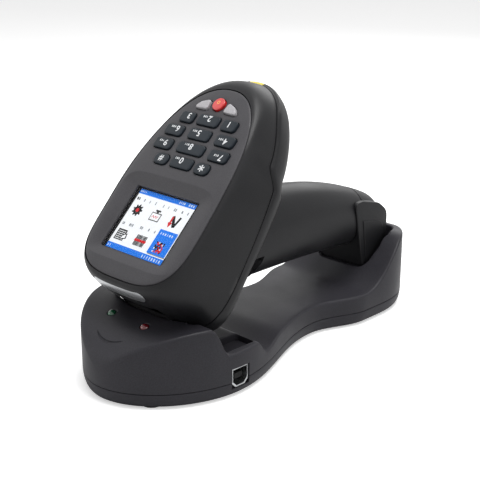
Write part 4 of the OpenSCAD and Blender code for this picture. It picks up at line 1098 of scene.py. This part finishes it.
def row_of_marks(name, x, v, n, count, pitch, size, ink, seed, narrowest=0.4):
    """A short row of small printed marks, from its first one at x, v."""
    width, height, thickness = (length * MM for length in size)
    piece = grow_mesh(mark_row, name, Count=count, Pitch=pitch * MM, Width=width, Height=height,
                      Thickness=thickness, Narrowest=narrowest, Seed=seed, Ink=ink)
    move_mesh(piece.data, FACE @ shift(x, v, n))
    piece.data.shade_flat()
    return piece


# Each number key, its numeral and where the numeral's middle is, from the middle of the key.
KEYS = [("key_1", "1", 0, 0.7), ("key_2", "2", 0.8, 1.2), ("key_3", "3", 1.4, 0.9),
        ("key_4", "4", 1, -0.2), ("key_5", "5", -0.4, 0.8), ("key_6", "6", 2.5, 1),
        ("key_7", "7", 2.7, -0.5), ("key_8", "8", 0, 1.2), ("key_9", "9", 2.1, 0.5),
        ("key_star", "*", 0, 2), ("key_0", "0", -0.5, 1.4), ("key_hash", "#", 0, 0)]
for i, (key, text, dx, dv) in enumerate(KEYS):
    x, v, w, h, r = key_place(i)
    cap = pillow(key + "_pillow", lambda d: number_outline(i, d), (x, v), KEY_CROWN, key_abs)
    dress(cap, key + "_cap", key)
    prints = [numeral(key + "_numeral", text, x + dx, v + dv, 9 if text == "*" else 5.2)]
    if w > 12:
        prints.append(row_of_marks(key + "_marks", x + dx - 4.9, v + dv + 0.7, PRINT_N, 3, 1.2,
                                   (0.8, 1.2, 0.04), ink, 20 + i))
    for piece in prints:
        dress(piece, key + "_cap")
for side, key in ((-1, "key_left"), (1, "key_right")):
    cap = pillow(key + "_pillow", lambda d: function_outline(side, d), (side * 10.2, 48.9),
                 KEY_CROWN, function_abs)
    dress(cap, key + "_cap", key)
power_red = clear_plastic("red_power_key_plastic", "#d02020", 0.3)
cap = pillow("key_power_dome", lambda d: disc(0, POWER_V, POWER_D + 2 * d), (0, POWER_V), 0.12,
             power_red)
dress(cap, "key_power_cap", "key_power")
ring_ink = clear_plastic("amber_key_ink", "#f0a040", 0.4)
ring = face_loop("key_power_ring", [
    [(x, v, PRINT_N + up) for x, v in disc(-0.2, POWER_V + 0.9, d)]
    for d, up in ((2.1, -0.05), (2.1, 0.04), (1.1, 0.04), (1.1, -0.05))], ring_ink)
dress(ring, "key_power_cap")

# ---- Handle ----
# Two charcoal shells screwed together along the middle, with a fine V groove where they meet.
# The trigger's slot is open at the lower side behind the nose.
GROOVE, HALF_GAP, STATIONS = 0.3, 0.12, 44


def trigger_room():
    """The space that the trigger sweeps, open at the handle's lower side."""
    sweep = [(y, z) for y, z in arc(TRIGGER_Y, TRIGGER_Z, TRIGGER_R + 0.5, range(-90, 1, 5))
             if z < TRIGGER_TOP]
    return side_prism("trigger_tool", [
        (-120, -50), (TRIGGER_Y, -50), *sweep, (sweep[-1][0] + 0.3, TRIGGER_TOP),
        (-120, TRIGGER_TOP)], -50, 50)


def head_tool():
    """Everything on the head's side of its underside, which ends the handle's neck."""
    obj = cuboid((-150, -150, 0), (150, 150, 300))
    move_mesh(obj.data, FACE @ shift(0, 0, UNDER_N + HEAD_WALL)
              @ Matrix.Rotation(atan(UNDER_SLOPE), 4, "X"))
    return obj


for side, node in ((1, "handle_right_shell"), (-1, "handle_left_shell")):
    rings = []
    for i in range(STATIONS, -1, -1):
        y = NECK_Y + (CAP_Y - 0.35 - NECK_Y) * i / STATIONS
        outer = handle_half(y, 0.25 if i == STATIONS else 0)
        section = [(HALF_GAP, outer[0][1] + GROOVE)]
        section += [(max(x, HALF_GAP + GROOVE * 0.8), z) for x, z in outer[1:-1]]
        section += [(HALF_GAP, outer[-1][1] - GROOVE)]
        section += [(max(x, HALF_GAP), z) for x, z in reversed(handle_half(y, HANDLE_WALL))]
        rings.append([(side * x, y, z) for x, z in section][::side])
    points, faces = skin(rings)
    n = len(rings[0])
    last = len(points) - n
    for i in range(n // 2 - 1):
        a, b, c, d = i, i + 1, n - 2 - i, n - 1 - i
        faces += [(d, c, b, a), (last + a, last + b, last + c, last + d)]
    shell = make_mesh(node + "_moulding", points, faces, shell_abs)
    boolean(shell, head_tool())
    boolean(shell, trigger_room())
    dress(shell, "terminal", node)

# ---- End cap ----
# A moulded cap closes the handle: a squared foot that stands in the cradle's pocket, with a
# raised pad on each cheek, and a rounded hump that carries the handle's line over it.
CAP_HALF, PAD_STEP, PAD_T = 18, 0.6, 2
CHEEK = rounded([(72, 70.3, 3.5), (80.6, 27, 0.8), (105, 27, 2), (104.4, 60, 8), (96, 66.5, 12),
                 (80, 70.8, 6)], 8)
CHEEK_PAD = rounded([(79.4, 58.4, 1), (84, 27, 0.5), (99, 27, 0.5), (99.8, 53.8, 5)], 8)


def soft_plate(name, outline, x0, x1, soft, material):
    """A plate seen from the side, from x0 to x1, with its edges rounded."""
    obj = side_prism(name, outline, x0, x1, material)
    soften = obj.modifiers.new("soften", "BEVEL")
    soften.width = soft * MM
    soften.segments = 4
    soften.limit_method = "ANGLE"
    soften.angle_limit = radians(50)
    return obj


cap_foot = soft_plate("end_cap_foot", CHEEK, PAD_STEP - CAP_HALF, CAP_HALF - PAD_STEP, 1.3,
                      shell_abs)
for name, x0, x1 in (("end_cap_pad_left", -CAP_HALF, PAD_T - CAP_HALF),
                     ("end_cap_pad_right", CAP_HALF - PAD_T, CAP_HALF)):
    dress(soft_plate(name, CHEEK_PAD, x0, x1, 0.4, shell_abs), "terminal",
          "handle_end_cap")
boolean(cap_foot, long_prism("bore_tool", handle_section(73, -0.25), CAP_Y, 60))
for x in PIN_X:
    boolean(cap_foot, cuboid((x - 1.6, PIN_Y - 3.1, 26), (x + 1.6, PIN_Y + 3.1, 28)))
boolean(cap_foot, cuboid((-13, 83, 34), (13, 99, 58)))
dress(cap_foot, "terminal", "handle_end_cap")

ENDS = [(84, 0.35), (84.3, 0), (88, 0), (92, 0), (96, 0.1), (99, 0.3), (101.5, 0.8), (104, 1.8),
        (106, 3.1), (107.6, 4.6), (108.7, 6.2), (109.6, 8), (110.1, 9.8), (110.4, 12),
        (110.45, 16), (110.46, 18)]
cap_hump = solid("end_cap_hump", [[(x, y, z) for x, z in handle_section(y, d)]
                                  for y, d in reversed(ENDS)], shell_abs)
dress(cap_hump, "terminal", "handle_end_cap")

# ---- Trigger ----
# A charcoal nylon lever on a cross pin, hollowed in front for the finger.
nylon = moulded_plastic("charcoal_trigger_nylon", "#353538", "#3b3b3e", 0.46, 0.6, 0.04)
trigger_line = [(TRIGGER_Y, TRIGGER_Z + 3)]
trigger_line += arc(TRIGGER_Y, TRIGGER_Z, TRIGGER_R, range(-14, -63, -4))
trigger_line += rounded([(-26, 40, 1.5), (-31, 43.5, 6), (-42, 50, 2), (-39.5, 59, 1)], 8)
trigger = soft_plate("trigger_lever_moulding", trigger_line[::-1], -19, 19, 1.8, nylon)
# Above the shells' lower edge the lever is narrow; the line leaves room for its pull.
PAD_EDGE, PULL = TRIGGER_TOP - 0.3, radians(6)
above = [(-80, PAD_EDGE), (TRIGGER_Y, PAD_EDGE), (0, PAD_EDGE + TRIGGER_Y * tan(PULL)),
         (0, 80), (-80, 80)]
for x0, x1 in ((-30, -14), (14, 30)):
    boolean(trigger, side_prism("narrow_tool", above, x0, x1))
limit = moved(handle_section(NECK_Y, 1.2), 0, -3)
boolean(trigger, long_prism("limit_tool", limit, 60, -120), "INTERSECT")
boolean(trigger, side_prism("pin_tool", disc(TRIGGER_Y, TRIGGER_Z, 3.3), -30, 30))
boolean(trigger, cuboid((-4.3, TRIGGER_Y - 8, TRIGGER_Z - 5), (4.3, TRIGGER_Y + 6, 75)))
dress(trigger, "trigger_lever", "trigger")

# ---- Trigger spring ----
# A torsion spring of bright spring wire is coiled around the trigger's pin and pushes the
# lever forward again.
WIRE_D, SPRING_R, SPRING_W, COILS = 0.8, 2.2, 8, 7
coil, given = geometry_tree("wound_wire", Turns="Float", Radius="Float", Length="Float",
                            Wire="Float", Metal="Material")
spiral = add_node(coil, "GeometryNodeCurveSpiral", {
    "Resolution": 24, "Rotations": given["Turns"], "Start Radius": given["Radius"],
    "End Radius": given["Radius"], "Height": given["Length"]})
half = add_node(coil, "ShaderNodeMath", {0: given["Wire"], 1: 0.5}, operation="MULTIPLY")
section = add_node(coil, "GeometryNodeCurvePrimitiveCircle", {"Resolution": 10, "Radius": half})
tube = add_node(coil, "GeometryNodeCurveToMesh", {
    "Curve": spiral, "Profile Curve": section, "Fill Caps": True})
finish_tree(coil, tube, given["Metal"])
spring = grow_mesh(coil, "trigger_spring_coil", Turns=COILS, Radius=SPRING_R * MM,
                   Length=(SPRING_W - WIRE_D) * MM, Wire=WIRE_D * MM,
                   Metal=metal_part("bright_spring_wire", "#c0c2c4", 0.3, 0.3))
move_mesh(spring.data, shift((WIRE_D - SPRING_W) / 2, TRIGGER_Y, TRIGGER_Z)
          @ Matrix.Rotation(pi / 2, 4, "Y"))
spring.data.shade_smooth()
dress(spring, "terminal", "trigger_spring")

# ---- Display ----
# A white liquid-crystal panel under a clear window. Its picture is a plain menu of icons.
window = plain_surface("clear_acrylic_window", 60, 2, 0.04, 0.1, {
    "Base Color": linear("#101418"), "IOR": 1.49, "Alpha": 0.07})
window.surface_render_method = "BLENDED"
coat_with(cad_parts["display_window"], window)
DYES = {"white": ("#f4f7fa", 0.35), "blue": ("#1e78e6", 0.35), "black": ("#17181a", 0.0),
        "red": ("#d8242c", 0.2), "grey": ("#8d9399", 0.1), "pale": ("#cfe2fb", 0.3)}
PRINTED = {name: screen_dye("display_" + name, *look) for name, look in DYES.items()}
dye_names = list(DYES)
picture_points, picture_faces, picture_dyes = [], [], []


def draw(outline, dye, layer):
    """A flat shape of the picture; x and v are measured from the middle of the screen."""
    start, count = len(picture_points), len(outline)
    points, faces = skin([[(x, v + SCREEN_V, n) for x, v in outline]
                          for n in (PICTURE_N, PICTURE_N + 0.04 * layer)])
    ends = [tuple(reversed(range(count))), tuple(range(count, 2 * count))]
    picture_points.extend(points)
    picture_faces.extend(tuple(start + i for i in face) for face in ends + faces)
    picture_dyes.extend([dye_names.index(dye)] * (count + 2))


def bar(x0, v0, x1, v1, dye, layer=1):
    draw([(x0, v0), (x1, v0), (x1, v1), (x0, v1)], dye, layer)


def stroke(x0, v0, x1, v1, width, dye, layer):
    """A straight line of some width."""
    run = Vector((x1 - x0, v1 - v0))
    side = Vector((-run.y, run.x)).normalized() * width / 2
    draw([(x0 - side.x, v0 - side.y), (x1 - side.x, v1 - side.y), (x1 + side.x, v1 + side.y),
          (x0 + side.x, v0 + side.y)], dye, layer)


half_w, half_h = SCREEN_W / 2, SCREEN_H / 2
bar(-half_w, -half_h, half_w, half_h, "white", 0.5)
bar(-half_w, 16, half_w, half_h, "blue")
bar(-half_w, -half_h, half_w, -15.4, "blue")
bar(7.7, -14.4, 21.4, 0.3, "blue")
bar(8.4, -14.9, 22, -14.4, "grey", 1.2)
COLUMNS, ROWS = (-15.9, -1, 13.7), (6.2, -9.8)
# A cog
teeth = [arc(COLUMNS[0], ROWS[0], 3.7 if i % 4 < 2 else 2.7, [10 * i])[0] for i in range(36)]
draw(teeth, "black", 2)
draw(disc(COLUMNS[0], ROWS[0], 2.4, 20), "red", 3)
# A timer: a box with a knob and a wavy line in it
x, v = COLUMNS[1], ROWS[0] - 0.3
bar(x - 3.7, v - 2.9, x + 3.7, v + 2.1, "black", 2)
bar(x - 3.2, v - 2.4, x + 3.2, v + 1.6, "white", 3)
bar(x - 0.8, v + 2.1, x + 0.8, v + 2.9, "black", 2)
bar(x - 1.9, v + 2.9, x + 1.9, v + 3.9, "black", 2)
for k in range(5):
    rise = (-1) ** k * 0.7
    stroke(x - 2.4 + 0.9 * k, v - 0.4 - rise, x - 1.5 + 0.9 * k, v - 0.4 + rise, 0.3, "red", 4)
# A zigzag with an arrow
x, v = COLUMNS[2], ROWS[0]
stroke(x - 2.4, v + 3, x + 1.1, v - 3.2, 1.9, "black", 2)
stroke(x + 1.1, v - 3.3, x + 2.9, v + 3.3, 1.4, "black", 2)
stroke(x - 2.5, v + 2.7, x - 2.5, v - 1.6, 1.2, "red", 3)
draw([(x - 3.9, v - 1.2), (x - 2.4, v - 4.1), (x - 0.9, v - 1)], "red", 3)
# A sheet of lines with a tag
x, v = COLUMNS[0] - 0.6, ROWS[1]
bar(x - 3.8, v - 3.3, x + 3.2, v + 3.3, "black", 2)
for k in range(5):
    bar(x - 3.1, v - 2.7 + k * 1.15, x + 2.5, v - 2.25 + k * 1.15, "white", 3)
for k in range(3):
    stroke(x - 1.9 + k * 1.5, v - 2.9, x - 1.9 + k * 1.5, v + 2.6, 0.25, "black", 4)
draw([(x + 0.6, v - 2.6), (x + 4.8, v - 1.6), (x + 4.2, v + 1.5), (x + 2.2, v + 0.6)], "black", 5)
draw([(x + 1.2, v - 2.1), (x + 4.2, v - 1.4), (x + 3.8, v + 0.8), (x + 2.4, v + 0.1)], "white", 6)
# The red line of a scan across a striped code
x, v = COLUMNS[1], ROWS[1]
bar(x - 4.3, v - 0.7, x + 4.3, v + 0.7, "red", 5)
picture = make_mesh("screen_picture", [FACE @ Vector(p) for p in picture_points], picture_faces,
                    PRINTED["white"])
for name in dye_names[1:]:
    picture.data.materials.append(PRINTED[name])
for face, dye in zip(picture.data.polygons, picture_dyes):
    face.material_index = dye
picture.data.shade_flat()
dress(picture, "terminal")

code_patch, given = geometry_tree("patch_of_cells", Columns="Int", Rows="Int", Cell="Float",
                                  Thickness="Float", Fill="Float", Seed="Int", Ink="Material")
spans = []
for side in ("Columns", "Rows"):
    steps = add_node(code_patch, "ShaderNodeMath", {0: given[side], 1: 1}, operation="SUBTRACT")
    spans.append(add_node(code_patch, "ShaderNodeMath", {0: steps, 1: given["Cell"]},
                          operation="MULTIPLY"))
grid = add_node(code_patch, "GeometryNodeMeshGrid", {
    "Size X": spans[0], "Size Y": spans[1],
    "Vertices X": given["Columns"], "Vertices Y": given["Rows"]})
size = add_node(code_patch, "ShaderNodeCombineXYZ", {
    "X": given["Cell"], "Y": given["Cell"], "Z": given["Thickness"]})
pick = add_node(code_patch, "FunctionNodeRandomValue", {
    "Probability": given["Fill"], "Seed": given["Seed"]}, data_type="BOOLEAN")
spots = add_node(code_patch, "GeometryNodeInstanceOnPoints", {
    "Points": grid, "Selection": pick.outputs[3],
    "Instance": add_node(code_patch, "GeometryNodeMeshCube", {"Size": size})})
finish_tree(code_patch, spots, given["Ink"])

dress(row_of_marks("scan_stripes", COLUMNS[1] - 3.6, ROWS[1] + SCREEN_V, PICTURE_N + 0.1, 10, 0.8,
                   (0.62, 6.4, 0.06), PRINTED["black"], 3, 0.45), "terminal")
for name, dye, seed, level, fill in (("code_dark", "black", 5, 0.12, 0.55),
                                     ("code_red", "red", 8, 0.15, 0.3),
                                     ("code_green", "pale", 11, 0.13, 0.15)):
    cells = grow_mesh(code_patch, name, Columns=7, Rows=7, Cell=0.9 * MM, Thickness=0.04 * MM,
                      Fill=fill, Seed=seed, Ink=PRINTED[dye])
    move_mesh(cells.data, FACE @ shift(COLUMNS[2] + 0.1, ROWS[1] - 0.2 + SCREEN_V,
                                       PICTURE_N + level))
    cells.data.shade_flat()
    dress(cells, "terminal")
# Rows of small marks where a menu has its words: first mark, row, marks, pitch, height, dye
WORDS = [(-20.6, 12.9, 2, 1.3, 1.6, "black"), (-15, 12.8, 2, 4.4, 1.6, "grey"),
         (-6, 12.9, 1, 1, 1.7, "grey"), (0.3, 12.8, 2, 3.9, 1.7, "grey"),
         (9, 12.7, 2, 1.2, 1.7, "grey"), (15.1, 12.6, 2, 4.3, 1.5, "grey"),
         (-20.4, -3.1, 2, 1, 1.5, "grey"), (-14.6, -3, 3, 1.1, 1.6, "grey"),
         (-6, -2.6, 2, 1.2, 1.6, "grey"), (0.4, -2.5, 2, 4.8, 1.5, "grey"),
         (9.8, -2, 6, 1.7, 1.3, "pale"), (-21.4, 17.5, 4, 1.3, 1, "pale"),
         (9.6, 17.5, 4, 1.2, 1.3, "pale"), (17, 17.5, 3, 1.6, 1.4, "pale"),
         (-21.2, -17.2, 2, 1.7, 1.4, "pale"), (6.6, -17.2, 8, 1.9, 1.7, "pale")]
for i, (x, v, count, pitch, tall, dye) in enumerate(WORDS):
    dress(row_of_marks(f"menu_marks_{i + 1}", x, v + SCREEN_V, PICTURE_N + 0.08, count, pitch,
                       (0.95, tall, 0.06), PRINTED[dye], 40 + i), "terminal")

# ---- Parts carried over from the frame ----
# Metal, boards, rubber and lamps whose CAD shape is right keep it and get their finish here.
FINISHES = {
    metal_part("zinc_plated_steel", "#b9bbbd", 0.35, 0.3): [
        "base_screws", "board_pillar_screws", "head_screws", "board_screws", "engine_bracket",
        "handle_screws", "trigger_pin"],
    metal_part("tinned_port_steel", "#c4c6c8", 0.3, 0.25): ["usb_shell"],
    metal_part("rolled_ballast_steel", "#6a6c70", 0.5, 0.8): ["ballast_plate"],
    metal_part("gold_plated_brass", "#d0aa4e", 0.28, 0.2): [
        "charge_contacts", "charge_pin_1", "charge_pin_2", "charge_pin_3", "charge_pin_4"],
    moulded_plastic("moulded_foot_rubber", "#101010", "#161616", 0.8, 0.5, 0.05): ["rubber_feet"],
    moulded_plastic("green_solder_mask", "#1f5a3a", "#246441", 0.35, 2.0, 0.01): [
        "cradle_board", "main_board", "switch_board"],
    moulded_plastic("blue_cell_sleeve", "#2a66a4", "#2f6fb0", 0.3, 1.0, 0.01): ["battery"],
    moulded_plastic("dark_keypad_silicone", "#1c2025", "#22262b", 0.65, 0.4, 0.02): [
        "keypad_sheet"],
    clear_plastic("green_lamp_epoxy", "#0f5a38", 0.15): ["led_green"],
    clear_plastic("red_lamp_epoxy", "#6e101c", 0.15): ["led_red"],
    clear_plastic("dark_red_scan_filter", "#2c0a0e", 0.08): ["scan_window"],
    screen_dye("display_panel_back", "#e8edf2", 0.2): ["lcd_panel"],
    black_abs: ["usb_tongue", "contact_block", "buzzer", "scan_engine", "trigger_switch"]}
for material, names in FINISHES.items():
    for name in names:
        coat_with(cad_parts[name], material)
